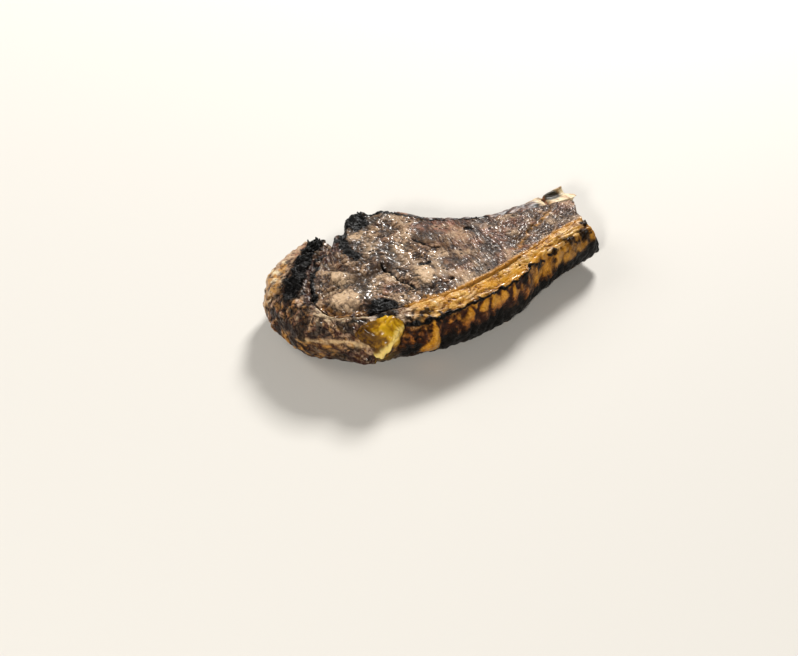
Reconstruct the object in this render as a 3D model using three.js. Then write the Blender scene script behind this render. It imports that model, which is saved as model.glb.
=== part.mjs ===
// A grilled bone-in beef rib steak, lying flat on one cut face. Lengths are in millimetres.
// +X runs along the steak from the round head to the sawn end of the rib, +Y points to the rib side, +Z up.
// The eye and tail muscle is one solid. The cap muscle round the head, the yellow fat along the front edge
// and the rib along the back edge are layers that run through the whole thickness beside it. A soft lump of
// melted fat lies over the front edge, near the head.
// The origin is the middle of the base of the box round the whole steak.

import * as THREE from "three";

// Driving dimensions.
const THICKNESS = 38.5; // top face of the meat above the board, in the middle
const GAP = 0.5; // between two layers that touch
const HEAD_SWELL = { at: [-62, -5], reach: [45, 40], rise: 2.4 }; // the round head stands higher
const TAIL_THINNING = { from: 35, to: 118, drop: 3.2 }; // the top face drops towards the sawn end
// The tail curls up off the board along x, most at its fat front corner and least at its back.
const TAIL_CURL = { from: 52, to: 120, rise: 9, back: 26, front: -14, least: 0.3 };
// The foot of the tail's sawn end stands out past its top, most at the front corner.
const TAIL_FLARE = { from: 94, to: 116, reach: 8.5, back: 24, front: -8 };
// The foot is drawn in under the front of the head, all the way between two places and fading out to others.
const HEAD_HOLLOW = { depth: 6.5, start: -112, full: -90, fading: -45, end: 10, back: 0, front: -45 };

// How an edge is rounded: where the top turns down, the height and squareness of the widest line, and how far
// the underside draws in.
const EDGE = {
  chine: { shoulder: 7, belly: 19, undercut: 5, square: 2.8 },
  joint: { shoulder: 2.6, belly: 20, undercut: 1.5, square: 4 },
  sawn: { shoulder: 3, belly: 20, undercut: 1.5, square: 3.6 },
  head: { shoulder: 14, belly: 18, undercut: 14, square: 2.2 },
  front: { shoulder: 9, belly: 22, undercut: 20, square: 2.1 },
  drape: { shoulder: 10, belly: 20, undercut: 17, square: 2.1 },
  fat: { shoulder: 5, belly: 20, undercut: 9, square: 2.5 },
  tail: { shoulder: 5, belly: 15, undercut: 4, square: 2.3 },
  rib: { shoulder: 4.5, belly: 20, undercut: 4.5, square: 2.6 },
};

// Rim of the eye and tail muscle, counterclockwise from above: [x, y, edge].
const MEAT_RIM = [
  [-63, 37.5, EDGE.joint],
  [-70, 24, EDGE.joint], // head end of the spine crosses here
  [-76, 15.5, EDGE.joint],
  [-83.5, 7.5, EDGE.joint],
  [-90, -1, EDGE.joint],
  [-94, -11, EDGE.joint],
  [-95.5, -21, EDGE.joint],
  [-96, -31, EDGE.joint],
  [-94, -40, EDGE.joint],
  [-88, -47.5, EDGE.joint],
  [-80, -51, EDGE.joint],
  [-70, -52.5, EDGE.joint], // and here
  [-56, -53, EDGE.joint],
  [-42, -53.5, EDGE.joint],
  [-26, -52.5, EDGE.joint],
  [-9, -50.5, EDGE.joint],
  [8, -45.5, EDGE.joint],
  [27, -39, EDGE.joint],
  [43, -32.5, EDGE.joint],
  [62, -24, EDGE.joint],
  [80, -14.5, EDGE.joint],
  [100, -6, EDGE.joint], // tail end of the spine crosses here
  [109.5, -2.5, EDGE.joint],
  [111.5, 9, EDGE.sawn],
  [114, 21, EDGE.joint],
  [100, 22.6, EDGE.joint], // and here
  [86, 22.2, EDGE.joint],
  [71, 21, EDGE.joint],
  [54, 19.8, EDGE.joint],
  [38, 21.8, EDGE.joint],
  [20, 27.5, EDGE.joint],
  [3, 37, EDGE.joint],
  [-9, 47, EDGE.joint],
  [-17, 56, EDGE.joint],
  [-26, 60.5, EDGE.chine],
  [-37, 62.8, EDGE.chine],
  [-45.5, 63.5, EDGE.chine],
  [-50.5, 56, EDGE.chine],
  [-56, 43, EDGE.chine],
];
const SPINE = { headX: -70, tailX: 100, headY: -8, tailY: 8, sag: 6, sagAt: 0.45, sagReach: 0.3 };
const HEAD_CROSSINGS = [1, 11]; // rim points on the line x = SPINE.headX
const TAIL_CROSSINGS = [21, 25]; // rim points on the line x = SPINE.tailX

// Layers beside the meat. Each section joins a place on the meat's rim, counted in rim points, to a point of
// the layer's own widest line: [rim place, x, y, edge].
const CAP_SECTIONS = [
  [0.75, -76.5, 49.5, EDGE.chine],
  [1.1, -87.5, 50, EDGE.head],
  [1.6, -97, 45, EDGE.head],
  [2.4, -109.5, 33.5, EDGE.head],
  [3.4, -119.5, 20, EDGE.head],
  [4.5, -124, 5, EDGE.head],
  [5.6, -122, -10, EDGE.head],
  [6.7, -117.5, -24, EDGE.head],
  [7.6, -111.5, -36.5, EDGE.front],
  [8.4, -102, -46.5, EDGE.front],
  [9.2, -90.5, -53, EDGE.front],
  [10.0, -80.5, -59, EDGE.front],
  [11.1, -68.7, -66.4, EDGE.drape], // ends under the lump of fat
];
const FAT_SECTIONS = [
  [11.14, -68.15, -66.55, EDGE.drape], // and the fat band starts there
  [11.9, -58, -69.5, EDGE.drape],
  [12.9, -44, -70, EDGE.drape],
  [14.0, -27, -69, EDGE.fat],
  [15.0, -9, -65.5, EDGE.fat],
  [16.0, 10, -60.5, EDGE.fat],
  [17.0, 29.5, -54.5, EDGE.fat],
  [17.9, 43, -49, EDGE.fat],
  [18.4, 54, -40.5, EDGE.fat],
  [19.1, 67, -32.5, EDGE.fat],
  [20.0, 84, -26.5, EDGE.fat],
  [20.9, 98.5, -20.5, EDGE.tail],
  [21.85, 112, -14, EDGE.tail],
];
const RIB_SECTIONS = [
  [25.0, 101, 39.5, EDGE.rib],
  [26.0, 87, 36.3, EDGE.rib],
  [27.0, 72, 31.8, EDGE.rib],
  [28.0, 56, 28.6, EDGE.rib],
  [29.0, 40, 29.2, EDGE.rib],
  [30.0, 23.5, 34, EDGE.rib],
  [31.0, 7, 42, EDGE.rib],
  [32.0, -6, 51, EDGE.rib],
  [32.6, -12.5, 56.5, EDGE.rib],
];
const CAP_END_ROUNDING = 4; // how far the cap's back end bulges towards the notch
// The rib's sawn end: it stands past the meat, its middle slab furthest, and its far plate rises in a tip.
const RIB_END = {
  x: 114.5,
  innerY: 24,
  outerY: 41,
  slabAt: 0.2,
  slabReach: 4.5,
  slabWidth: 0.22,
  plateRise: 6.5,
  tipRise: 4,
  shard: 1.6,
};
const RIB_SUNK = 1.2; // how far the covered rib lies below the meat's top face
const RIB_HOLLOW = { share: 0.55, width: 0.16, depth: 1.3, bareRise: 1.6 }; // along its bare middle
const RIB_FOOT = 2.5; // how far its underside stands off the board
const RIB_CUT = { x: 95.5, depth: 1.8, width: 1.8 }; // the cracked groove across the bare bone
// The lump of melted fat, draped over the fat band: its middle along the band and down from the band's inner
// corner, its radii every eighth of a turn from the tail side by way of the foot, and its greatest thickness.
const LUMP = {
  x: -63.5,
  down: 13.5,
  radii: [14.5, 13.5, 18, 12, 15.5, 10, 8, 11],
  thickness: 4.6,
  rim: 0.5,
  clear: 0.9,
};
const DRIP = { along: 9, down: 6, slant: 0.62, halfWidth: 3, rise: 1.8 }; // a ridge down across it
const LUMP_BED = { x: -62, reach: 14, depth: 1.5 }; // the dip of the layers below it

// Marks of the grill and the muscles in the top face: creases with their depth and half width, and swellings.
const CREASES = [
  { depth: 2.6, width: 4.2, line: [[-78, 3], [-70, -4], [-66, -15], [-56, -16], [-42, -12]] },
  { depth: 2.2, width: 4.0, line: [[-66, -15], [-75, -19], [-88, -24], [-95, -25]] },
  { depth: 2.0, width: 3.2, line: [[-41, -12], [-40, -20], [-37, -28], [-31, -37]] },
  { depth: 1.6, width: 3.0, line: [[-14, 15], [-8, 7], [-3, 2], [3, -2]] },
  { depth: 2.0, width: 3.4, line: [[-88, -40], [-80, -44.5], [-66, -46.5]] },
  { depth: 1.3, width: 5.0, line: [[52, -18], [61, -10], [72, -1], [82, 9], [92, 18]] },
  { depth: 1.6, width: 4.0, line: [[-54, 40], [-44, 42], [-32, 34], [-20, 33]] },
];
const SWELLINGS = [
  { at: [-75, -11], reach: [11, 7], rise: 2.4 },
  { at: [-77, -34], reach: [15, 9], rise: 3.0 },
  { at: [-24, -30], reach: [11, 8], rise: 2.0 },
  { at: [-50, 8], reach: [20, 15], rise: 1.5 },
  { at: [15, 4], reach: [26, 14], rise: 1.4 },
  { at: [10, -28], reach: [28, 8], rise: 1.0 },
  { at: [72, 9], reach: [16, 7], rise: 1.0 },
];
// Burnt, craggy places: along a line, within a reach, the surface is broken by this much.
const BURNT = [
  { reach: 9, crags: 4.2, line: [[-76, 38], [-84, 27], [-93, 17], [-101, 6], [-107, -8]] },
  { reach: 9, crags: 2.8, line: [[-48, 57], [-38, 58], [-24, 56]] },
];

const clamp01 = (v) => Math.min(1, Math.max(0, v));
const smooth = (low, high, v) => {
  const t = clamp01((v - low) / (high - low));
  return t * t * (3 - 2 * t);
};
const mix = (a, b, t) => a + (b - a) * t;
const bell = (v) => Math.exp(-v * v);

// Catmull-Rom value of a list of number lists at place t, counted in points.
function splineAt(points, t, closed) {
  const n = points.length;
  const last = closed ? n : n - 1;
  const i = Math.min(Math.floor(t), last - 1);
  const f = t - i;
  const pick = (k) => points[closed ? (k + n) % n : Math.min(n - 1, Math.max(0, k))];
  const [a, b, c, d] = [pick(i - 1), pick(i), pick(i + 1), pick(i + 2)];
  return b.map((_, k) => {
    const slopeIn = (c[k] - a[k]) / 2;
    const slopeOut = (d[k] - b[k]) / 2;
    const rise = c[k] - b[k];
    const square = 3 * rise - 2 * slopeIn - slopeOut;
    const cube = slopeIn + slopeOut - 2 * rise;
    return b[k] + f * (slopeIn + f * (square + f * cube));
  });
}

// A point list whose edge objects are spread out into plain numbers.
const flatten = (rows, edgeAt) =>
  rows.map((row) => {
    const edge = row[edgeAt];
    return [...row.slice(0, edgeAt), edge.shoulder, edge.belly, edge.undercut, edge.square];
  });
const edgeOf = (v) => ({ shoulder: v[0], belly: v[1], undercut: v[2], square: v[3] });

const rimRows = flatten(MEAT_RIM, 2);
const rimAt = (t) => {
  const n = rimRows.length;
  const v = splineAt(rimRows, ((t % n) + n) % n, true);
  return { x: v[0], y: v[1], edge: edgeOf(v.slice(2)) };
};

// Value noise of a point, from -1 to 1, and its sum over octaves.
function hash(i, j, k) {
  const s = Math.sin(i * 127.1 + j * 311.7 + k * 74.7) * 43758.5453;
  return s - Math.floor(s);
}
function noise(x, y, z) {
  const [i, j, k] = [Math.floor(x), Math.floor(y), Math.floor(z)];
  const ease = (t) => t * t * t * (t * (6 * t - 15) + 10);
  const [u, v, w] = [ease(x - i), ease(y - j), ease(z - k)];
  const row = (dj, dk) => mix(hash(i, j + dj, k + dk), hash(i + 1, j + dj, k + dk), u);
  return 2 * mix(mix(row(0, 0), row(1, 0), v), mix(row(0, 1), row(1, 1), v), w) - 1;
}
function roughness(x, y, z, size, octaves) {
  let sum = 0;
  for (let o = 0, scale = size, share = 1; o < octaves; o++, scale /= 2.1, share /= 2) {
    sum += share * noise(x / scale + 17 * o, y / scale, z / scale);
  }
  return sum;
}

// Distance in plan from a point to a broken line.
function distanceTo(line, x, y) {
  let best = Infinity;
  for (let i = 0; i + 1 < line.length; i++) {
    const [ax, ay] = line[i];
    const [bx, by] = line[i + 1];
    const [dx, dy] = [bx - ax, by - ay];
    const t = clamp01(((x - ax) * dx + (y - ay) * dy) / (dx * dx + dy * dy));
    best = Math.min(best, Math.hypot(x - ax - t * dx, y - ay - t * dy));
  }
  return best;
}

// Smooth top face of the meat at a plan point, without its fine relief.
function topFace(x, y) {
  const { at, reach, rise } = HEAD_SWELL;
  const swell = rise * bell((x - at[0]) / reach[0]) * bell((y - at[1]) / reach[1]);
  return THICKNESS + swell - TAIL_THINNING.drop * smooth(TAIL_THINNING.from, TAIL_THINNING.to, x);
}

// Relief of the top face: swellings and creases, waves of shrunken fibre, and crags where it is burnt.
function topRelief(x, y) {
  let z = 0.9 * roughness(x, y, 3, 15, 2);
  for (const { at, reach, rise } of SWELLINGS) {
    z += rise * bell((x - at[0]) / reach[0]) * bell((y - at[1]) / reach[1]);
  }
  for (const { depth, width, line } of CREASES) z -= depth * bell(distanceTo(line, x, y) / width);
  return z + crags(x, y, 0);
}
function crags(x, y, z) {
  let sum = 0;
  for (const b of BURNT) {
    const near = 1 - smooth(0.45 * b.reach, 1.15 * b.reach, distanceTo(b.line, x, y));
    if (near > 0) sum += near * b.crags * (Math.abs(roughness(x, y, z + 50, 10, 2)) - 0.3);
  }
  return sum;
}

// The underside: flat on the board, with the tail curling up towards its fat corner.
function liftAt(x, y) {
  const { from, to, rise, back, front, least } = TAIL_CURL;
  return rise * smooth(from, to, x) * mix(least, 1, smooth(back, front, y));
}
function underside(x, y, inside) {
  return liftAt(x, y) + (1 - inside) * 0.8 * (1 + noise(x / 14, y / 14, 9));
}

// Points round an edge from the top face's end to the underside: outward share, height share and turn.
function edgeTurn(steps) {
  const turns = [];
  for (let i = 1; i <= steps; i++) turns.push((Math.PI * i) / steps);
  return turns;
}
function edgePoint(turn, edge, topZ, underZ) {
  const power = 2 / edge.square;
  const upper = turn <= Math.PI / 2;
  const out = Math.pow(Math.max(0, Math.sin(turn)), power);
  const rise = Math.pow(Math.abs(Math.cos(turn)), power);
  const belly = Math.max(edge.belly, underZ + 3);
  return {
    inset: (upper ? edge.shoulder : edge.undercut) * (1 - out),
    z: upper ? belly + (topZ - belly) * rise : belly - (belly - underZ) * rise,
  };
}

// Share of the way down below the belly at which the meat's wall bends, and the levels of its bends.
const JOINT_KNEE = Math.pow(Math.cos(0.375 * Math.PI), 2 / EDGE.joint.square);
const WALL_LEVELS = [34.5, EDGE.joint.belly, EDGE.joint.belly * (1 - JOINT_KNEE), 0];
function alongWall(z, shares) {
  for (let i = 1; i < WALL_LEVELS.length; i++) {
    if (z > WALL_LEVELS[i]) {
      const height = WALL_LEVELS[i - 1] - WALL_LEVELS[i];
      return mix(shares[i], shares[i - 1], clamp01((z - WALL_LEVELS[i]) / height));
    }
  }
  return shares.at(-1);
}
// The tail's foot flares out and the head's foot is drawn in. Both shifts are straight between the levels at
// which touching walls bend, so that their gap stays even.
function shapeFoot([x, y, z]) {
  const flare = TAIL_FLARE;
  const out = smooth(flare.from, flare.to, x) * smooth(flare.back, flare.front, y);
  const under = HEAD_HOLLOW;
  const along = smooth(under.start, under.full, x) * smooth(under.end, under.fading, x);
  const inwards = along * smooth(under.back, under.front, y);
  return [
    x + flare.reach * out * alongWall(z, [0, 0.7, 1, 1]),
    y + under.depth * inwards * alongWall(z, [0, 0, 0.7, 1]),
    z,
  ];
}

// Distance along a line of points, at each of them.
function lengthsOf(points) {
  const lengths = [0];
  for (let i = 1; i < points.length; i++) {
    lengths.push(lengths[i - 1] + Math.hypot(...points[i].map((v, axis) => v - points[i - 1][axis])));
  }
  return lengths;
}

// A THREE geometry from vertex triples and index triples.
function geometryOf(points, faces) {
  const geometry = new THREE.BufferGeometry();
  geometry.setAttribute("position", new THREE.Float32BufferAttribute(points.flat(), 3));
  geometry.setIndex(faces.flat());
  geometry.computeVertexNormals();
  return geometry;
}

// The eye and tail muscle: profiles run from a spine over the top, round the rim and back below.
function meatGeometry() {
  const TOP_RINGS = 10;
  const TURN_STEPS = 4;
  const UNDER_RINGS = 3;
  const SPACING = 3.9; // between profiles along the rim
  const dense = 40; // rim samples between two rim points
  const samples = [];
  for (let t = 0; t < MEAT_RIM.length * dense; t++) samples.push({ place: t / dense, ...rimAt(t / dense) });
  const run = (from, to) => {
    const list = [];
    const n = samples.length;
    for (let i = from * dense; i !== to * dense; i = (i + 1) % n) list.push(samples[i]);
    list.push(samples[to * dense]);
    return list;
  };
  // Profiles at equal steps along a run of the rim, ends included.
  const evenly = (list, spacing) => {
    const along = lengthsOf(list.map((s) => [s.x, s.y]));
    const count = Math.max(2, Math.round(along.at(-1) / spacing));
    return Array.from({ length: count + 1 }, (_, k) => {
      const i = along.findIndex((a) => a >= (along.at(-1) * k) / count - 1e-9);
      return list[i];
    });
  };
  const [headTop, headFront] = HEAD_CROSSINGS;
  const [tailFront, tailBack] = TAIL_CROSSINGS;
  const back = run(tailBack, headTop).reverse(); // from the head to the tail
  const front = run(headFront, tailFront);
  const atX = (list, x) => list.reduce((best, s) => (Math.abs(s.x - x) < Math.abs(best.x - x) ? s : best));
  const xs = evenly(back, SPACING).map((s) => s.x).sort((a, b) => a - b);
  const spineOf = (x) => {
    const share = clamp01((x - SPINE.headX) / (SPINE.tailX - SPINE.headX));
    const sag = SPINE.sag * bell((share - SPINE.sagAt) / SPINE.sagReach);
    return { x: mix(SPINE.headX, SPINE.tailX, share), y: mix(SPINE.headY, SPINE.tailY, share) - sag };
  };
  const stations = [];
  const add = (rim, id) => stations.push({ rim, id, spine: spineOf(xs[id]) });
  evenly(run(headTop, headFront), SPACING).forEach((s) => add(s, 0));
  xs.slice(1, -1).forEach((x, k) => add(atX(front, x), k + 1));
  evenly(run(tailFront, tailBack), SPACING).forEach((s) => add(s, xs.length - 1));
  xs.slice(1, -1).reverse().forEach((x, k) => add(atX(back, x), xs.length - 2 - k));

  const points = [];
  const faces = [];
  const push = (x, y, z) => points.push([x, y, z]) - 1;
  const spineTop = xs.map((x) => {
    const s = spineOf(x);
    return push(s.x, s.y, topFace(s.x, s.y) + topRelief(s.x, s.y));
  });
  const spineUnder = xs.map((x) => {
    const s = spineOf(x);
    return push(s.x, s.y, underside(s.x, s.y, 1));
  });
  const profiles = stations.map(({ rim, spine, id }) => {
    const [dx, dy] = [rim.x - spine.x, rim.y - spine.y];
    const length = Math.hypot(dx, dy);
    const [ox, oy] = [dx / length, dy / length];
    const ring = [spineTop[id]];
    const topLength = length - rim.edge.shoulder;
    for (let k = 1; k <= TOP_RINGS; k++) {
      const [x, y] = [spine.x + (ox * topLength * k) / TOP_RINGS, spine.y + (oy * topLength * k) / TOP_RINGS];
      ring.push(push(x, y, topFace(x, y) + topRelief(x, y)));
    }
    const [ex, ey] = [spine.x + ox * topLength, spine.y + oy * topLength];
    const topZ = topFace(ex, ey) + topRelief(ex, ey);
    const underLength = length - rim.edge.undercut;
    const underZ = underside(spine.x + ox * underLength, spine.y + oy * underLength, 0);
    const free = clamp01((rim.edge.shoulder - EDGE.joint.shoulder) / 3);
    for (const turn of edgeTurn(2 * TURN_STEPS)) {
      const e = edgePoint(turn, rim.edge, topZ, underZ);
      const [x, y] = [rim.x - ox * e.inset, rim.y - oy * e.inset];
      const swell = free * Math.sin(turn) * (1.3 * roughness(x, y, e.z, 11, 2) + crags(x, y, e.z));
      ring.push(push(x + ox * swell, y + oy * swell, e.z));
    }
    for (let k = 1; k < UNDER_RINGS; k++) {
      const reach = underLength * (1 - k / UNDER_RINGS);
      const [x, y] = [spine.x + ox * reach, spine.y + oy * reach];
      ring.push(push(x, y, underside(x, y, k / 2 > 1 ? 1 : k / 2)));
    }
    ring.push(spineUnder[id]);
    return ring;
  });
  profiles.forEach((ring, i) => {
    const next = profiles[(i + 1) % profiles.length];
    for (let k = 0; k + 1 < ring.length; k++) {
      const [a, b, c, d] = [ring[k], ring[k + 1], next[k + 1], next[k]];
      if (b !== c) faces.push([a, b, c]);
      if (a !== d) faces.push([a, c, d]);
    }
  });
  return geometryOf(points.map(shapeFoot), faces);
}

// Closed loops of points skinned one to the next, with a fan over each end.
function skin(loops) {
  const points = loops.flat();
  const faces = [];
  const size = loops[0].length;
  for (let i = 0; i + 1 < loops.length; i++) {
    for (let k = 0; k < size; k++) {
      const next = (k + 1) % size;
      const [a, b] = [i * size + k, i * size + next];
      faces.push([a, b, b + size], [a, b + size, a + size]);
    }
  }
  const fan = (start, turned) => {
    const centre = points.length;
    points.push(middleOf(points.slice(start, start + size)));
    for (let k = 0; k < size; k++) {
      const [a, b] = [start + k, start + ((k + 1) % size)];
      faces.push(turned ? [centre, b, a] : [centre, a, b]);
    }
  };
  fan(0, true);
  fan((loops.length - 1) * size, false);
  return geometryOf(points, faces);
}
const middleOf = (loop) => [0, 1, 2].map((axis) => loop.reduce((sum, p) => sum + p[axis], 0) / loop.length);
const lerpPoint = (p, q, t) => p.map((v, axis) => mix(v, q[axis], t));

// Loops that round off the first end of a run of loops, bulging by a depth along their inner wall.
function roundedEnd(loops, depth) {
  const STEPS = 3;
  const first = middleOf(loops[0]);
  const heading = [0, 1].map((axis) => loops[0][0][axis] - loops[1][0][axis]);
  const length = Math.hypot(...heading);
  const nose = [];
  for (let s = STEPS; s >= 1; s--) {
    const turn = (s / (STEPS + 0.4)) * (Math.PI / 2);
    const shift = (depth * Math.sin(turn)) / length;
    nose.push(
      loops[0].map((p) => {
        const [x, y, z] = lerpPoint(first, p, Math.sqrt(Math.cos(turn)));
        return [x + heading[0] * shift, y + heading[1] * shift, z];
      }),
    );
  }
  return nose;
}

// Loops of a layer that stands against the meat's rim, each from the foot of the inner wall up, over the top
// and round the outer side. crown(share, x, y) is its top relative to the meat's top face, and swell(x, y, z)
// moves its outer side in or out.
const WALL_STEPS = 3;
function layerLoops({ sections, count, topSteps, crown, swell, foot = 0 }) {
  const TURNS = edgeTurn(8);
  const UNDER_STEPS = 2;
  const rows = flatten(sections, 3);
  return Array.from({ length: count + 1 }, (_, s) => {
    const v = splineAt(rows, (s / count) * (rows.length - 1), false);
    const rim = rimAt(v[0]);
    const ahead = rimAt(v[0] + 0.02);
    const [tx, ty] = [ahead.x - rim.x, ahead.y - rim.y];
    const step = Math.hypot(tx, ty);
    // The rim runs counterclockwise, so its right-hand side is outside the meat.
    const inner = [rim.x + (ty / step) * GAP, rim.y - (tx / step) * GAP];
    const edge = edgeOf(v.slice(3));
    const width = Math.hypot(v[1] - inner[0], v[2] - inner[1]);
    const [ox, oy] = [(v[1] - inner[0]) / width, (v[2] - inner[1]) / width];
    const shoulder = Math.min(edge.shoulder, 0.7 * width);
    const undercut = Math.min(edge.undercut, 0.7 * width);
    const at = (reach) => [inner[0] + ox * reach, inner[1] + oy * reach];
    const topZ = (reach) => topFace(...at(reach)) + crown(reach / width, ...at(reach));
    const underZ = (reach) => liftAt(...at(reach)) + foot;
    const loop = [];
    const belly = EDGE.joint.belly;
    for (const z of [underZ(0), mix(belly, underZ(0), JOINT_KNEE), belly, topZ(0)]) loop.push([...at(0), z]);
    for (let k = 1; k <= topSteps; k++) {
      const reach = ((width - shoulder) * k) / topSteps;
      loop.push([...at(reach), topZ(reach)]);
    }
    for (const turn of TURNS) {
      const shape = { ...edge, shoulder, undercut };
      const e = edgePoint(turn, shape, topZ(width - shoulder), underZ(width - undercut));
      const [x, y] = at(width - e.inset);
      const out = Math.sin(turn) * swell(x, y, e.z);
      loop.push([x + ox * out, y + oy * out, e.z]);
    }
    for (let k = 1; k <= UNDER_STEPS; k++) {
      const reach = (width - undercut) * (1 - k / (UNDER_STEPS + 1));
      loop.push([...at(reach), underZ(reach)]);
    }
    return loop.map(shapeFoot);
  });
}

// The foot of the melted fat, where a striped flap of meat bulges out below it.
const FLAP = { x: -76, reach: 8, z: 8, height: 6, bulge: 9 };
const flapSwell = (x, z) => FLAP.bulge * bell((x - FLAP.x) / FLAP.reach) * bell((z - FLAP.z) / FLAP.height);
const lumpBed = (x) => LUMP_BED.depth * bell((x - LUMP_BED.x) / LUMP_BED.reach);

// The cap muscle: its top falls away to the round outer side, with a crust of burnt crags in the middle.
const CAP_SEAM = 1.4; // how far its inner corner lies below the meat
const CAP_FALL = 6;
function capCrown(share, x, y) {
  const rise = mix(-CAP_SEAM, 0.6, smooth(0, 0.16, share));
  return rise - CAP_FALL * smooth(0.2, 1.1, share) - lumpBed(x) + topRelief(x, y);
}
const capSwell = (x, y, z) => 1.5 * roughness(x, y, z, 12, 2) + flapSwell(x, z);
const capForm = { sections: CAP_SECTIONS, crown: capCrown, swell: capSwell };
const capLoops = layerLoops({ ...capForm, count: 60, topSteps: 8 });

// The band of yellow fat: a gutter beside the meat, a low crown, and a lobed side below the charred edge.
// Where it starts, it takes its form over from the cap.
const FAT_GUTTER = 1.6;
const FAT_FALL = 4.5;
const FAT_START = { x: -68, reach: 14 };
const WEDGE = { x: -33, reach: 5, z: 16, height: 10, bulge: 2.2 }; // clear fat that stands out at the side
const ownForm = (x) => smooth(FAT_START.x, FAT_START.x + FAT_START.reach, x);
function fatCrown(share, x, y) {
  const rise = mix(-FAT_GUTTER, 0, smooth(0, 0.22, share));
  const own = rise - FAT_FALL * smooth(0.2, 1, share) - lumpBed(x) + 0.7 * roughness(x, y, 5, 8, 2);
  return mix(capCrown(share, x, y), own, ownForm(x));
}
function fatSwell(x, y, z) {
  const wedge = WEDGE.bulge * bell((x - WEDGE.x) / WEDGE.reach) * bell((z - WEDGE.z) / WEDGE.height);
  return mix(capSwell(x, y, z), 1.3 * roughness(x, y, 0.4 * z, 7, 2) + wedge + flapSwell(x, z), ownForm(x));
}
const fatForm = { sections: FAT_SECTIONS, crown: fatCrown, swell: fatSwell };
const fatLoops = layerLoops({ ...fatForm, count: 64, topSteps: 6 });

// Point of a loop at a distance over the top from the inner corner, and of a run of loops at a place.
function overLoop(loop, distance) {
  let left = distance;
  for (let k = WALL_STEPS; k + 1 < loop.length; k++) {
    const length = Math.hypot(...loop[k].map((v, axis) => loop[k + 1][axis] - v));
    if (left <= length) return lerpPoint(loop[k], loop[k + 1], left / length);
    left -= length;
  }
  return loop.at(-1);
}
function overLayer(loops, place, distance) {
  const i = Math.min(Math.floor(place), loops.length - 2);
  return lerpPoint(overLoop(loops[i], distance), overLoop(loops[i + 1], distance), place - i);
}

// The lump of melted fat: a disc laid over the band's shoulder, its underside just clear of it.
function lumpGeometry() {
  const SPOKES = 28;
  const RINGS = 6;
  const NEARBY = 1.5; // distance at which the slope of the layers is felt
  // The foot of the cap and the fat band in one run, with the distance along its inner corner.
  const loops = [...capLoops.slice(-20), ...fatLoops];
  const along = lengthsOf(loops.map((loop) => loop[WALL_STEPS]));
  const middle = along[loops.findIndex((loop) => loop[WALL_STEPS][0] > LUMP.x)];
  const place = (distance) => {
    const i = along.findIndex((length) => length > middle + distance) - 1;
    return i + (middle + distance - along[i]) / (along[i + 1] - along[i]);
  };
  const at = (onwards, down, out) => {
    const point = (a, d) => overLayer(loops, place(a), Math.max(0.4, LUMP.down + d));
    const here = point(onwards, down);
    const onward = point(onwards + NEARBY, down);
    const below = point(onwards, down + NEARBY);
    const normal = new THREE.Vector3(...below)
      .sub(new THREE.Vector3(...here))
      .cross(new THREE.Vector3(...onward).sub(new THREE.Vector3(...here)))
      .normalize();
    return [here[0] + normal.x * out, here[1] + normal.y * out, here[2] + normal.z * out];
  };
  // Thickness of the lump: domed, with a drip running down across it towards the foot.
  const thickness = (onwards, down, ring) => {
    const uneven = 1 + 0.25 * noise(onwards / 6, down / 6, 4);
    const dome = LUMP.thickness * Math.sqrt(Math.max(0, 1 - ring * ring)) * uneven;
    const fromDrip = onwards - DRIP.along + DRIP.slant * (down + DRIP.down);
    return LUMP.rim + dome + DRIP.rise * bell(fromDrip / DRIP.halfWidth) * (1 - ring ** 4);
  };
  const disc = (offset) => {
    const rings = [];
    for (let ring = 1; ring <= RINGS; ring++) {
      for (let s = 0; s < SPOKES; s++) {
        const angle = (2 * Math.PI * s) / SPOKES;
        const [radius] = splineAt(LUMP.radii.map((r) => [r]), (s / SPOKES) * LUMP.radii.length, true);
        const share = Math.sin(((ring / RINGS) * Math.PI) / 2);
        const [onwards, down] = [radius * share * Math.cos(angle), radius * share * Math.sin(angle)];
        rings.push(at(onwards, down, offset(onwards, down, share)));
      }
    }
    return [at(0, 0, offset(0, 0, 0)), ...rings];
  };
  const outer = disc((onwards, down, ring) => LUMP.clear + thickness(onwards, down, ring));
  const inner = disc(() => LUMP.clear);
  const faces = [];
  const half = outer.length;
  const index = (ring, s) => 1 + (ring - 1) * SPOKES + (s % SPOKES);
  for (let s = 0; s < SPOKES; s++) {
    faces.push([0, index(1, s + 1), index(1, s)], [half, half + index(1, s), half + index(1, s + 1)]);
    for (let ring = 1; ring < RINGS; ring++) {
      const [a, b, c, d] = [index(ring, s), index(ring, s + 1), index(ring + 1, s + 1), index(ring + 1, s)];
      faces.push([a, b, c], [a, c, d], [half + a, half + c, half + b], [half + a, half + d, half + c]);
    }
    const [a, b] = [index(RINGS, s), index(RINGS, s + 1)];
    faces.push([a, b, half + b], [a, half + b, half + a]);
  }
  return geometryOf([...outer, ...inner], faces);
}

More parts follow.
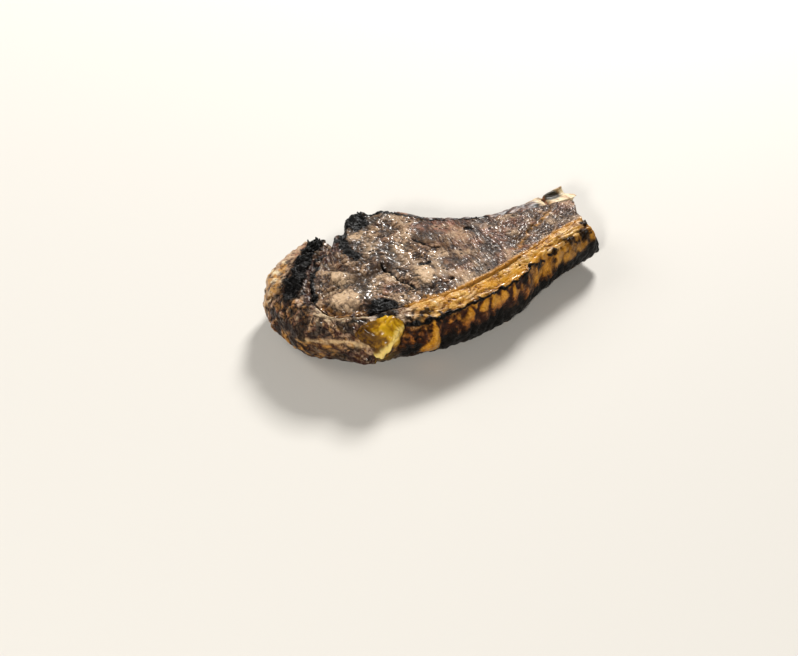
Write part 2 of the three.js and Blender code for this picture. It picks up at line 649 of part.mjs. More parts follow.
// The rib: a flat bar on edge, sunk beside the meat and bare near its sawn, splintered end.
function ribGeometry() {
  const loops = layerLoops({
    sections: RIB_SECTIONS,
    count: 40,
    topSteps: 5,
    crown: (share, x) => {
      const hollow = RIB_HOLLOW.depth * bell((share - RIB_HOLLOW.share) / RIB_HOLLOW.width);
      const bare = smooth(72, 104, x) * (RIB_HOLLOW.bareRise - hollow);
      const plate = RIB_END.plateRise * smooth(0.62, 0.95, share) * smooth(90, 114, x);
      const cut = RIB_CUT.depth * bell((x - RIB_CUT.x) / RIB_CUT.width);
      return -RIB_SUNK + bare + plate - cut;
    },
    swell: (x, y, z) => 0.5 * roughness(x, y, z, 10, 1),
    foot: RIB_FOOT,
  });
  const base = loops[0];
  const ys = base.map((p) => p[1]);
  const [minY, maxY] = [Math.min(...ys), Math.max(...ys)];
  const STEPS = 5;
  const tip = Array.from({ length: STEPS }, (_, s) => {
    const share = (s + 1) / STEPS;
    return base.map(([x, y, z]) => {
      const across = (y - minY) / (maxY - minY);
      const slab = RIB_END.slabReach * bell((across - RIB_END.slabAt) / RIB_END.slabWidth);
      const end = RIB_END.x + slab + RIB_END.shard * roughness(0, y, z, 5, 2);
      const rise = share * RIB_END.tipRise * smooth(0.6, 1, across) * smooth(0.5, 0.8, z / THICKNESS);
      return [mix(x, end, share), mix(y, mix(RIB_END.innerY, RIB_END.outerY, across), share), z + rise];
    });
  });
  return skin([...tip.reverse(), ...loops]);
}

const finish = (color, roughness) => new THREE.MeshStandardMaterial({ color, roughness, metalness: 0 });
const PIECES = {
  meat: [meatGeometry(), finish(0x5a4a3e, 0.55)],
  cap: [skin([...roundedEnd(capLoops, CAP_END_ROUNDING), ...capLoops]), finish(0x6b4a36, 0.5)],
  fat_band: [skin(fatLoops), finish(0xb98a3c, 0.45)],
  fat_lump: [lumpGeometry(), finish(0xd9b62e, 0.35)],
  rib_bone: [ribGeometry(), finish(0xe4d3ab, 0.6)],
};

const steak = new THREE.Group();
steak.name = "rib_steak";
for (const [name, [geometry, material]] of Object.entries(PIECES)) {
  const mesh = new THREE.Mesh(geometry, material);
  mesh.name = name;
  steak.add(mesh);
}
const middle = new THREE.Box3().setFromObject(steak).getCenter(new THREE.Vector3());
for (const mesh of steak.children) mesh.position.set(-middle.x, -middle.y, 0);

export default steak;
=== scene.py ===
"""A grilled bone-in beef rib steak on a pale studio floor.

Every form is worked out in millimetres on the steak's own plan, in which +X runs from the round head to the
sawn end of the rib and +Y to the rib side, and moved to the part's frame as its mesh is made.
"""

import itertools
import logging
from dataclasses import dataclass, field
from enum import Enum
from functools import cached_property
from typing import Any

import bpy
import numpy as np
from mathutils import Matrix, Vector


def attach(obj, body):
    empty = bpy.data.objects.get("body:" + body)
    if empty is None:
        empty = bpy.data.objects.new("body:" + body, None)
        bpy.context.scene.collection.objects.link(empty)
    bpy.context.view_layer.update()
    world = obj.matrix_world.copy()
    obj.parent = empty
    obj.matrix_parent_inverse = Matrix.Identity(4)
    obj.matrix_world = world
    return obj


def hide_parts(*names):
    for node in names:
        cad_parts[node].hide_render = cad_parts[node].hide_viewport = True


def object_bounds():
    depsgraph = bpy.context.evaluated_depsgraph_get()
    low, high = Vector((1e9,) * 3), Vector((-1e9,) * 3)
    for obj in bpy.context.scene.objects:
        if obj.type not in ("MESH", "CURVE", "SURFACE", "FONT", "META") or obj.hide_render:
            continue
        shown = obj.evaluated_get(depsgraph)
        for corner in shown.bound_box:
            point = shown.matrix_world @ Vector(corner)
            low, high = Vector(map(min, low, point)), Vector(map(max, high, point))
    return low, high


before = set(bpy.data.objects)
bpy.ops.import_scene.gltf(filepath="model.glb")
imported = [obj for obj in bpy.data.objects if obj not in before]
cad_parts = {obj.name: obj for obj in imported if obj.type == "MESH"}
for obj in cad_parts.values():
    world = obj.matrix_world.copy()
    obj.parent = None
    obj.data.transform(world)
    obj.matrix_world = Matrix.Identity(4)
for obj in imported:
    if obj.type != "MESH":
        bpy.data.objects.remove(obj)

Array = np.ndarray
Pair = tuple[float, float]
Triple = tuple[float, float, float]
Grid = tuple[Array, Array, Array]  # points, distances over the top and distances along the piece
Material = bpy.types.Material
Mesh = bpy.types.Mesh
Thing = bpy.types.Object
log = logging.getLogger("rib_steak")

CAD_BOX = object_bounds()
MM = 0.001
# From the steak's plan to the part's frame, whose origin is the middle of the base of its box.
PLAN_TO_PART = np.array([2.0854568481445312, 4.55963134765625, 0.0])
BOX_CLEARANCE = 0.00003  # metres kept free inside the box of the solids
SINE_HASH = (127.1, 311.7, 74.7, 43758.5453)  # the solids' noise has the same numbers
CREASE_MEAN = 0.42  # mean height of the creased noise


def smooth(low: float, high: float, value: Array) -> Array:
    """Ease from 0 at low to 1 at high, as 3t^2 - 2t^3.

    Args:
        low: Value at which the ease starts.
        high: Value at which it ends, which may be below low.
        value: Values to ease.

    Returns:
        The eased share of each value.
    """
    share = np.clip((np.asarray(value, float) - low) / (high - low), 0, 1)
    return share * share * (3 - 2 * share)


def mix(start: Any, end: Any, share: Any) -> Any:
    """Return the point between start and end at a share of the way."""
    return start + (end - start) * share


def bell(value: Any) -> Array:
    """Return exp(-v^2), a hump of height 1 and half width about 1."""
    return np.exp(-np.square(value))


def spline_at(points: Array, place: Array, closed: bool) -> Array:
    """Catmull-Rom curve through rows of numbers: a cubic whose slope at a point is half the step past it.

    Args:
        points: Rows of numbers, (count, width).
        place: Places along the rows, counted in points.
        closed: Whether the last row joins the first.

    Returns:
        One row of numbers for each place.
    """
    count = len(points)
    first = np.minimum(np.floor(place).astype(int), (count if closed else count - 1) - 1)
    share = (place - first)[:, None]
    rows = [first + shift for shift in (-1, 0, 1, 2)]
    a, b, c, d = (points[row % count if closed else np.clip(row, 0, count - 1)] for row in rows)
    slope_in, slope_out, rise = (c - a) / 2, (d - b) / 2, c - b
    cubic = 3 * rise - 2 * slope_in - slope_out + share * (slope_in + slope_out - 2 * rise)
    return b + share * (slope_in + share * cubic)


def line_field(line: Any, x: Array, y: Array) -> tuple[Array, Array, Array]:
    """Distance to a broken line in plan: the nearest of the feet of the perpendiculars on its legs.

    Args:
        line: Points of the line, (count, 2).
        x: Plan positions.
        y: Plan positions.

    Returns:
        The distance, the place along the line counted in its points, and +1 on its left or -1 on its right.
    """
    points = np.asarray(line, float)
    start, step = points[:-1], np.diff(points, axis=0)
    from_x, from_y = x[:, None] - start[:, 0], y[:, None] - start[:, 1]
    along = np.clip((from_x * step[:, 0] + from_y * step[:, 1]) / (step**2).sum(1), 0, 1)
    distance = np.hypot(from_x - along * step[:, 0], from_y - along * step[:, 1])
    leg = distance.argmin(1)
    row = np.arange(len(x))
    side = np.sign(step[leg, 0] * from_y[row, leg] - step[leg, 1] * from_x[row, leg])
    return distance[row, leg], leg + along[row, leg], side


def near_line(line: Any, x: Array, y: Array, core: float, reach: float) -> Array:
    """Return 1 within core of a line, easing to 0 at reach from it."""
    return 1 - smooth(core, reach, line_field(line, x, y)[0])


def across_line(line: Any, x: Array, y: Array, width: float) -> Array:
    """Return a bell across a line, 1 on the line and about a third at a width from it."""
    return bell(line_field(line, x, y)[0] / width)


def spot(x: Array, y: Array, middle: Pair, reach: Pair, turn: float = 0) -> Array:
    """Soft oval patch: 1 inside, easing to 0 between 0.6 and 1.25 of its reach.

    Args:
        x: Plan positions.
        y: Plan positions.
        middle: Middle of the oval.
        reach: Half its length and half its width.
        turn: Angle of its length from +X, in degrees.

    Returns:
        The share of the patch at each position.
    """
    c, s = np.cos(np.radians(turn)), np.sin(np.radians(turn))
    dx, dy = x - middle[0], y - middle[1]
    return 1 - smooth(0.6, 1.25, np.hypot((c * dx + s * dy) / reach[0], (c * dy - s * dx) / reach[1]))


def lattice_noise(x: Array, y: Array, z: Any) -> Array:
    """Value noise from -1 to 1: eased blend of the sine hash at the eight lattice corners round a point."""
    z = np.broadcast_to(np.asarray(z, float), np.shape(x))
    cell = [np.floor(v) for v in (x, y, z)]
    ease = [t * t * t * (t * (6 * t - 15) + 10) for t in (v - c for v, c in zip((x, y, z), cell))]
    total = np.zeros(np.shape(x))
    for corner in itertools.product((0, 1), repeat=3):
        i, j, k = (c + shift for c, shift in zip(cell, corner))
        raw = np.sin(i * SINE_HASH[0] + j * SINE_HASH[1] + k * SINE_HASH[2]) * SINE_HASH[3]
        weight = np.ones(np.shape(x))
        for share, shift in zip(ease, corner):
            weight = weight * (share if shift else 1 - share)
        total += weight * (raw - np.floor(raw))
    return 2 * total - 1


def roughness(x: Array, y: Array, z: Any, size: float, octaves: int) -> Array:
    """Sum of value noises, each 2.1 times finer and half as strong as the one before."""
    total, scale, share = 0.0, size, 1.0
    for octave in range(octaves):
        total = total + share * lattice_noise(x / scale + 17 * octave, y / scale, np.asarray(z) / scale)
        scale, share = scale / 2.1, share / 2
    return total


@dataclass(frozen=True)
class Grain:
    """Seeded gradient noise for relief that is finer than the solids carry."""

    seed: int = 17
    period: int = 4096

    @cached_property
    def tables(self) -> tuple[Array, Array]:
        """Return the shuffled lattice order and a unit direction for each entry."""
        rng = np.random.default_rng(self.seed)
        directions = rng.normal(size=(self.period, 3))
        return rng.permutation(self.period), directions / np.linalg.norm(directions, axis=1, keepdims=True)

    def entry(self, cell: Array) -> Array:
        """Return the shuffled table entry of whole lattice cells, (count, 3)."""
        order, _ = self.tables
        last = self.period - 1
        return order[(order[(order[cell[:, 0] & last] + cell[:, 1]) & last] + cell[:, 2]) & last]

    def at(self, points: Array) -> Array:
        """Gradient noise: eased blend of each lattice corner's direction times the offset from it.

        Args:
            points: Positions in lattice units, (count, 3).

        Returns:
            Noise of about -1 to 1.
        """
        _, directions = self.tables
        cell = np.floor(points).astype(int)
        offset = points - cell
        ease = offset**3 * (offset * (6 * offset - 15) + 10)
        total = np.zeros(len(points))
        for corner in itertools.product((0, 1), repeat=3):
            slope = directions[self.entry(cell + corner)]
            weight = np.prod(np.where(corner, ease, 1 - ease), axis=1)
            total += weight * ((offset - corner) * slope).sum(1)
        return 1.7 * total

    def layers(self, points: Array, size: float, octaves: int = 1) -> Array:
        """Return octaves of noise added up, each twice as fine and half as strong as the one before."""
        return sum(self.at(points * 2**o / size + 31.7 * o) / 2**o for o in range(octaves))

    def shift(self, points: Array, size: float, reach: float) -> Array:
        """Return the points moved by up to reach along three noises of a size, in millimetres."""
        moves = [self.at(points / size + 91.3 * (axis + 1)) for axis in range(3)]
        return points + reach * np.stack(moves, axis=1)

    def creases(self, points: Array, size: float) -> Array:
        """Return |noise| of a size in millimetres: 0 in sharp creases, about 1 on the bulges between."""
        return np.minimum(1, 1.8 * np.abs(self.at(points / size)))

    def cells(self, points: Array, size: float) -> tuple[Array, Array]:
        """Broken chunks: distance to the nearest scattered seed, and the gap to the second nearest.

        Args:
            points: Positions in millimetres, (count, 3).
            size: Distance between seeds in millimetres.

        Returns:
            The nearest distance and the gap, both in cell sizes.
        """
        _, directions = self.tables
        scaled = points / size
        cell = np.floor(scaled).astype(int)
        nearest = np.full(len(points), 9.0)
        second = np.full(len(points), 9.0)
        for corner in itertools.product((-1, 0, 1), repeat=3):
            at = cell + corner
            away = np.linalg.norm(scaled - at - 0.5 - 0.42 * directions[self.entry(at)], axis=1)
            second = np.minimum(second, np.maximum(nearest, away))
            nearest = np.minimum(nearest, away)
        return nearest, second - nearest


GRAIN = Grain()
noise, creases = GRAIN.layers, GRAIN.creases


@dataclass(frozen=True)
class Edge:
    """How an edge is rounded: the shoulder's width, the belly's height, the undercut and the squareness."""

    shoulder: float
    belly: float
    undercut: float
    square: float

    @property
    def numbers(self) -> list[float]:
        """Return the four sizes as plain numbers."""
        return [self.shoulder, self.belly, self.undercut, self.square]


class EdgeKind(Enum):
    """The named edges of the steak."""

    CHINE = Edge(7, 19, 5, 2.8)
    JOINT = Edge(1.2, 20, 1.5, 4)
    SAWN = Edge(3, 20, 1.5, 3.6)
    HEAD = Edge(14, 18, 14, 2.2)
    FRONT = Edge(9, 22, 20, 2.1)
    DRAPE = Edge(10, 20, 17, 2.1)
    FAT = Edge(5, 20, 9, 2.5)
    TAIL = Edge(5, 15, 4, 2.3)
    RIB = Edge(4.5, 20, 4.5, 2.6)


def edge_rows(runs: Any) -> Array:
    """Spread runs of points that share an edge kind into rows of numbers, with the edge's sizes last."""
    return np.array([[*row, *kind.value.numbers] for kind, rows in runs for row in rows], float)


# Rim of the eye and tail muscle, counterclockwise from above.
MEAT_RIM = edge_rows([
    (EdgeKind.JOINT, [
        (-63, 37.5), (-70, 24), (-76, 15.5), (-83.5, 7.5), (-90, -1), (-94, -11), (-95.5, -21),
        (-96, -31), (-94, -40), (-88, -47.5), (-80, -51), (-70, -52.5), (-56, -53), (-42, -53.5),
        (-26, -52.5), (-9, -50.5), (8, -45.5), (27, -39), (43, -32.5), (62, -24), (80, -14.5),
        (100, -6), (109.5, -2.5),
    ]),
    (EdgeKind.SAWN, [(111.5, 9)]),
    (EdgeKind.JOINT, [
        (114, 21), (100, 22.6), (86, 22.2), (71, 21), (54, 19.8), (38, 21.8), (20, 27.5), (3, 37),
        (-9, 47), (-17, 56),
    ]),
    (EdgeKind.CHINE, [(-26, 60.5), (-37, 62.8), (-45.5, 63.5), (-50.5, 56), (-56, 43)]),
])
HEAD_CROSSINGS = (1, 11)  # rim places on the line through the spine's head end
TAIL_CROSSINGS = (21, 25)  # and through its tail end


@dataclass(frozen=True)
class SteakForm:
    """The large form that all the pieces share: top face, relief, underside, rim and foot."""

    thickness: float = 38.5
    head_swell: float = 2.4
    tail_thinning: float = 3.2
    tail_lift: float = 9
    tail_flare: float = 8.5
    head_hollow: float = 6.5
    foot_top: float = 34.5
    spine_x: Pair = (-70, 100)
    spine_y: Pair = (-8, 8)
    # Creases of the top face with their depth and half width, and its swellings.
    creases: tuple = (
        (2.6, 4.2, ((-78, 3), (-70, -4), (-66, -15), (-56, -16), (-42, -12))),
        (2.2, 4.0, ((-66, -15), (-75, -19), (-88, -24), (-95, -25))),
        (1.0, 2.6, ((-41, -12), (-40, -20), (-37, -28), (-31, -37))),
        (0.9, 2.6, ((-14, 15), (-8, 7), (-3, 2), (3, -2))),
        (2.0, 3.4, ((-88, -40), (-80, -44.5), (-66, -46.5))),
        (1.3, 5.0, ((52, -18), (61, -10), (72, -1), (82, 9), (92, 18))),
        (1.6, 4.0, ((-54, 40), (-44, 42), (-32, 34), (-20, 33))),
    )
    swellings: tuple = (
        ((-75, -11), (11, 7), 2.4),
        ((-77, -34), (15, 9), 3.0),
        ((-24, -30), (11, 8), 2.0),
        ((-50, 8), (20, 15), 1.5),
        ((15, 4), (26, 14), 1.4),
        ((10, -28), (28, 8), 1.0),
        ((72, 9), (16, 7), 1.0),
    )
    # Burnt, craggy places: reach, height of the crags and line.
    burnt: tuple = (
        (9, 4.2, ((-76, 38), (-84, 27), (-93, 17), (-101, 6), (-107, -8))),
        (9, 2.8, ((-48, 57), (-38, 58), (-24, 56))),
    )
    wall_knee: float = float(np.cos(0.375 * np.pi) ** (2 / EdgeKind.JOINT.value.square))

    def top_face(self, x: Array, y: Array) -> Array:
        """Smooth top face: level, with the head swollen by a bell and the tail eased down."""
        swell = self.head_swell * bell((x + 62) / 45) * bell((y + 5) / 40)
        return self.thickness + swell - self.tail_thinning * smooth(35, 118, x)

    def crags(self, x: Array, y: Array, z: Any) -> Array:
        """Burnt crags: |noise| within the reach of the burnt lines."""
        total = np.zeros(np.shape(x))
        for reach, height, line in self.burnt:
            near = near_line(line, x, y, 0.45 * reach, 1.15 * reach)
            total += near * height * (np.abs(roughness(x, y, z + 50, 10, 2)) - 0.3)
        return total

    def relief(self, x: Array, y: Array) -> Array:
        """Relief of the top face: waves, swellings, creases and crags, added up."""
        total = 0.9 * roughness(x, y, 3, 15, 2) + self.crags(x, y, 0)
        for at, reach, rise in self.swellings:
            total += rise * bell((x - at[0]) / reach[0]) * bell((y - at[1]) / reach[1])
        for depth, width, line in self.creases:
            total -= depth * across_line(line, x, y, width)
        return total

    def lift(self, x: Array, y: Array) -> Array:
        """Height of the underside, where the tail's fat corner curls up off the ground."""
        return self.tail_lift * smooth(52, 120, x) * mix(0.3, 1, smooth(26, -14, y))

    def underside(self, x: Array, y: Array, inside: Array) -> Array:
        """Underside of the meat: its lift, and a slightly raised, uneven border."""
        return self.lift(x, y) + (1 - inside) * 0.8 * (1 + lattice_noise(x / 14, y / 14, 9))

    def rim(self, place: Array) -> Array:
        """Rows of x, y and edge sizes of the meat's rim at places counted in rim points."""
        return spline_at(MEAT_RIM, np.mod(place, len(MEAT_RIM)), True)

    def spine(self, x: Array) -> tuple[Array, Array]:
        """Line inside the meat from which its profiles run to the rim, at plan positions x."""
        share = np.clip((x - self.spine_x[0]) / (self.spine_x[1] - self.spine_x[0]), 0, 1)
        return mix(*self.spine_x, share), mix(*self.spine_y, share) - 6 * bell((share - 0.45) / 0.3)

    def edge(self, turn: Array, sizes: Array, top: Array, under: Array) -> tuple[Array, Array]:
        """Edge profile: a superellipse quarter from the top to the belly and another down to the underside.

        Args:
            turn: Angles from 0 at the top to pi below, (turns,).
            sizes: Rows of shoulder, belly, undercut and squareness, (rows, 4).
            top: Height where the shoulder starts, (rows,).
            under: Height where the undercut ends, (rows,).

        Returns:
            How far each point lies inside the widest line, and its height, both (rows, turns).
        """
        shoulder, belly, undercut, square = (sizes[:, k, None] for k in range(4))
        power = 2 / square
        out = np.maximum(0, np.sin(turn)) ** power
        rise = np.abs(np.cos(turn)) ** power
        belly = np.maximum(belly, under[:, None] + 3)
        upper = turn <= np.pi / 2
        inset = np.where(upper, shoulder, undercut) * (1 - out)
        above = belly + (top[:, None] - belly) * rise
        below = belly - (belly - under[:, None]) * rise
        return inset, np.where(upper, above, below)

    def shape_foot(self, points: Array) -> Array:
        """Flare the foot at the tail's sawn end and draw it in under the head's front, in straight legs."""
        x, y, z = points[..., 0], points[..., 1], points[..., 2]
        belly = EdgeKind.JOINT.value.belly
        levels = [0, belly * (1 - self.wall_knee), belly, self.foot_top]
        flare = self.tail_flare * smooth(94, 116, x) * smooth(24, -8, y)
        flare = flare * np.interp(z, levels, [1, 1, 0.7, 0])
        front = smooth(0, -45, y) * smooth(-112, -90, x) * smooth(10, -45, x)
        hollow = self.head_hollow * front * np.interp(z, levels, [1, 0.7, 0, 0])
        return np.stack([x + flare, y + hollow, z], axis=-1)


FORM = SteakForm()


@dataclass
class Skin:
    """The vertices of a piece: place and normal in plan millimetres, and where they lie on its grid."""

    place: Array
    normal: Array
    over: Array  # distance over the top from the inner corner, below 0 on the inner wall
    along: Array  # distance along the piece


@dataclass
class Dressing:
    """What a piece's finish needs at each vertex: the height added along the normal and the named shares."""

    height: Array
    shares: dict[str, Array]


def link_object(name: str, data: Any) -> Thing:
    """Make an object of its data and put it in the scene."""
    made = bpy.data.objects.new(name, data)
    bpy.context.scene.collection.objects.link(made)
    return made


def grid_mesh(
    name: str, points: Array, extras: dict[str, Array], wrap_rows: bool, wrap_columns: bool
) -> Mesh:
    """Mesh of a grid of points: quads between neighbours, with points at one place welded and poles closed.

    Args:
        name: Name of the mesh.
        points: Grid in plan millimetres, (rows, columns, 3).
        extras: Values on the same grid to keep as attributes.
        wrap_rows: Whether the last row joins the first.
        wrap_columns: Whether the last column joins the first.

    Returns:
        The mesh in the part's frame, in metres, with its faces outwards.
    """
    rows, columns, _ = points.shape
    flat = points.reshape(-1, 3)
    _, first, welded = np.unique(np.round(flat, 4), axis=0, return_index=True, return_inverse=True)
    number = welded.reshape(rows, columns)
    row = np.arange(rows if wrap_rows else rows - 1)[:, None]
    column = np.arange(columns if wrap_columns else columns - 1)[None, :]
    next_row, next_column = (row + 1) % rows, (column + 1) % columns
    corners = [(row, column), (row, next_column), (next_row, next_column), (next_row, column)]
    quads = np.stack([number[at].ravel() for at in corners], axis=1)
    same = quads == np.roll(quads, -1, axis=1)
    whole = quads[~same.any(1)]
    pinched = quads[same.sum(1) == 1]
    keep = ~(pinched == np.roll(pinched, -1, axis=1))
    triangles = pinched[keep].reshape(-1, 3)
    places = flat[first]
    fan = np.concatenate([whole[:, [0, 1, 2]], whole[:, [0, 2, 3]], triangles])
    a, b, c = (places[fan[:, k]] for k in range(3))
    if np.einsum("ij,ij->", a, np.cross(b, c)) < 0:
        whole, triangles = whole[:, ::-1], triangles[:, ::-1]
    mesh = bpy.data.meshes.new(name)
    mesh.vertices.add(len(places))
    mesh.vertices.foreach_set("co", ((places + PLAN_TO_PART) * MM).ravel())
    loops = np.concatenate([whole.ravel(), triangles.ravel()])
    sizes = np.concatenate([np.full(len(whole), 4), np.full(len(triangles), 3)])
    mesh.loops.add(len(loops))
    mesh.loops.foreach_set("vertex_index", loops.astype(np.int32))
    mesh.polygons.add(len(sizes))
    mesh.polygons.foreach_set("loop_start", np.concatenate([[0], np.cumsum(sizes)[:-1]]).astype(np.int32))
    mesh.update(calc_edges=True)
    mesh.validate()
    mesh.shade_smooth()
    for key, values in extras.items():
        set_share(mesh, key, values.reshape(-1)[first])
    return mesh


def set_share(mesh: Mesh, name: str, values: Array) -> None:
    """Keep one number a vertex as the named attribute of a mesh."""
    made = mesh.attributes.get(name) or mesh.attributes.new(name, "FLOAT", "POINT")
    made.data.foreach_set("value", values.astype(np.float32))


def get_share(mesh: Mesh, name: str) -> Array:
    """Return the named attribute of a mesh, one number a vertex."""
    values = np.empty(len(mesh.vertices), np.float32)
    mesh.attributes[name].data.foreach_get("value", values)
    return values.astype(float)


def read_vertices(mesh: Mesh) -> tuple[Array, Array]:
    """Return the vertices' positions in metres and their normals."""
    rows = []
    for source, key in ((mesh.vertices, "co"), (mesh.vertex_normals, "vector")):
        numbers = np.empty(3 * len(mesh.vertices), np.float32)
        source.foreach_get(key, numbers)
        rows.append(numbers.reshape(-1, 3).astype(float))
    return rows[0], rows[1]


def read_skin(mesh: Mesh) -> Skin:
    """Return the vertices of a piece in plan millimetres, with their normals."""
    place, normal = read_vertices(mesh)
    return Skin(place / MM - PLAN_TO_PART, normal, get_share(mesh, "over"), get_share(mesh, "along"))


def write_places(mesh: Mesh, plan: Array) -> None:
    """Put vertices at plan millimetres, held inside the box of the solids."""
    low, high = (np.array(corner) for corner in CAD_BOX)
    place = np.clip((plan + PLAN_TO_PART) * MM, low + BOX_CLEARANCE, high - BOX_CLEARANCE)
    mesh.vertices.foreach_set("co", place.ravel())
    mesh.update()


def linear(colour: str) -> tuple[float, float, float, float]:
    """Linear RGBA of an sRGB hex colour such as "#c08a31"."""
    parts = [int(colour[k : k + 2], 16) / 255 for k in (1, 3, 5)]
    return (*(c / 12.92 if c <= 0.04045 else ((c + 0.055) / 1.055) ** 2.4 for c in parts), 1.0)


def add_node(
    tree: bpy.types.NodeTree, kind: str, settings: dict[str, Any], output: Any = 0, **inputs: Any
) -> Any:
    """Add a node with its settings and links.

    Args:
        tree: Tree that gets the node.
        kind: Node type, such as "ShaderNodeMath".
        settings: Node properties; "stops" holds a colour ramp's positions and colours.
        output: Name or number of the output to return.
        **inputs: Links, numbers or colours by the socket's name, or by its number after an i.

    Returns:
        The output socket.
    """
    made = tree.nodes.new(kind)
    for key, value in settings.items():
        if key == "stops":
            while len(made.color_ramp.elements) < len(value):
                made.color_ramp.elements.new(0.5)
            for element, (position, colour) in zip(made.color_ramp.elements, value):
                element.position, element.color = position, linear(colour)
        else:
            setattr(made, key, value)
    for key, value in inputs.items():
        socket = made.inputs[int(key[1:])] if key[1:].isdigit() else made.inputs[key.replace("_", " ")]
        if isinstance(value, bpy.types.NodeSocket):
            tree.links.new(value, socket)
        else:
            socket.default_value = linear(value) if isinstance(value, str) else value
    return made.outputs[output]


@dataclass
class Palette:
    """A material's node tree with the few moves that every finish makes in it."""

    name: str
    material: Material = field(init=False)

    def __post_init__(self) -> None:
        """Make the material with an empty tree."""
        self.material = bpy.data.materials.new(self.name)
        self.material.use_nodes = True
        self.tree.nodes.clear()

    @property
    def tree(self) -> bpy.types.NodeTree:
        """Return the material's node tree."""
        return self.material.node_tree

    @cached_property
    def place(self) -> Any:
        """Return the socket of the position on the piece, in metres."""
        return add_node(self.tree, "ShaderNodeTexCoord", {}, "Object")

    def share(self, name: str) -> Any:
        """Return the socket of a named attribute."""
        return add_node(self.tree, "ShaderNodeAttribute", {"attribute_name": name}, "Fac")

    def grain(self, size: float, detail: float = 3, distortion: float = 0, stretch: tuple = (1, 1, 1)) -> Any:
        """Return the socket of a noise whose features are size millimetres across, 0 to 1."""
        place = self.place
        if stretch != (1, 1, 1):
            place = add_node(self.tree, "ShaderNodeMapping", {}, Vector=place, Scale=stretch)
        inputs = {"Scale": 1 / (size * MM), "Detail": detail, "Distortion": distortion}
        return add_node(self.tree, "ShaderNodeTexNoise", {}, "Fac", Vector=place, **inputs)

    def math(self, operation: str, first: Any, second: Any = 0.0, third: Any = 0.0) -> Any:
        """Return the socket of an operation on one to three numbers, held between 0 and 1."""
        settings = {"operation": operation, "use_clamp": True}
        return add_node(self.tree, "ShaderNodeMath", settings, i0=first, i1=second, i2=third)

    def times(self, first: Any, second: Any, plus: Any = 0.0) -> Any:
        """Return the socket of first times second plus a third number, held between 0 and 1."""
        return self.math("MULTIPLY_ADD", first, second, plus)

    def line(self, value: Any, width: float) -> Any:
        """Return the socket that is 0 where a noise is 0.5 and 1 beyond a width of noise from there."""
        return self.span(self.math("PINGPONG", value, 0.5), 0.5, 0.5 - width, 0, 1)

    def crinkle(self, size: float, curl: float = 1.1, stretch: tuple = (1, 1, 1)) -> Any:
        """Return the socket of crinkled skin, 0 in its dark creases to 1 on its bulges.

        Args:
            size: Width of the larger bulges in millimetres.
            curl: How strongly the creases curl.
            stretch: Scale of the position, below 1 along the way that the crinkles are drawn out.
        """
        wide = self.grain(size, 1, curl, stretch)
        thin = self.line(self.grain(0.5 * size, 1, 0.7 * curl, stretch), 0.16)
        bulge = self.times(self.line(wide, 0.26), 0.4, self.times(thin, 0.28))
        return self.times(self.line(wide, 0.09), 0.32, bulge)

    def mix(self, first: Any, second: Any, share: Any) -> Any:
        """Return the socket of a number between two by a share."""
        return add_node(self.tree, "ShaderNodeMix", {"data_type": "FLOAT"}, 0, i0=share, i2=first, i3=second)

    def span(self, value: Any, low: float, high: float, start: float, end: float) -> Any:
        """Return the socket of a value carried from low..high to start..end."""
        inputs = {"From_Min": low, "From_Max": high, "To_Min": start, "To_Max": end}
        return add_node(self.tree, "ShaderNodeMapRange", {}, Value=value, **inputs)

    def share_by(self, name: str, value: Any, low: float, high: float, start: float, end: float) -> Any:
        """Return the socket of a named share that follows a value too, from start at low to end at high."""
        return self.times(self.share(name), self.span(value, low, high, start, end))

    def ramp(self, value: Any, stops: list[tuple[float, str]]) -> Any:
        """Return the socket of a colour ramp over a value."""
        return add_node(self.tree, "ShaderNodeValToRGB", {"stops": stops}, Fac=value)

    def lay(self, under: Any, *covers: tuple[Any, Any]) -> Any:
        """Return the socket of a colour with others laid over it in turn, each by its share."""
        colours = {"data_type": "RGBA"}
        for over, share in covers:
            under = add_node(self.tree, "ShaderNodeMix", colours, 2, i0=share, i6=under, i7=over)
        return under

    def bump(self, height: Any, depth: float, **onto: Any) -> Any:
        """Return the socket of a normal bumped by a depth in millimetres, onto another Normal if given."""
        return add_node(self.tree, "ShaderNodeBump", {}, Height=height, Distance=depth * MM, **onto)

    def finish(self, **inputs: Any) -> Material:
        """Close the tree with a Principled shader that has these inputs, and return the material."""
        shader = add_node(self.tree, "ShaderNodeBsdfPrincipled", {}, **inputs)
        output = self.tree.nodes.new("ShaderNodeOutputMaterial")
        self.tree.links.new(shader, output.inputs["Surface"])
        return self.material


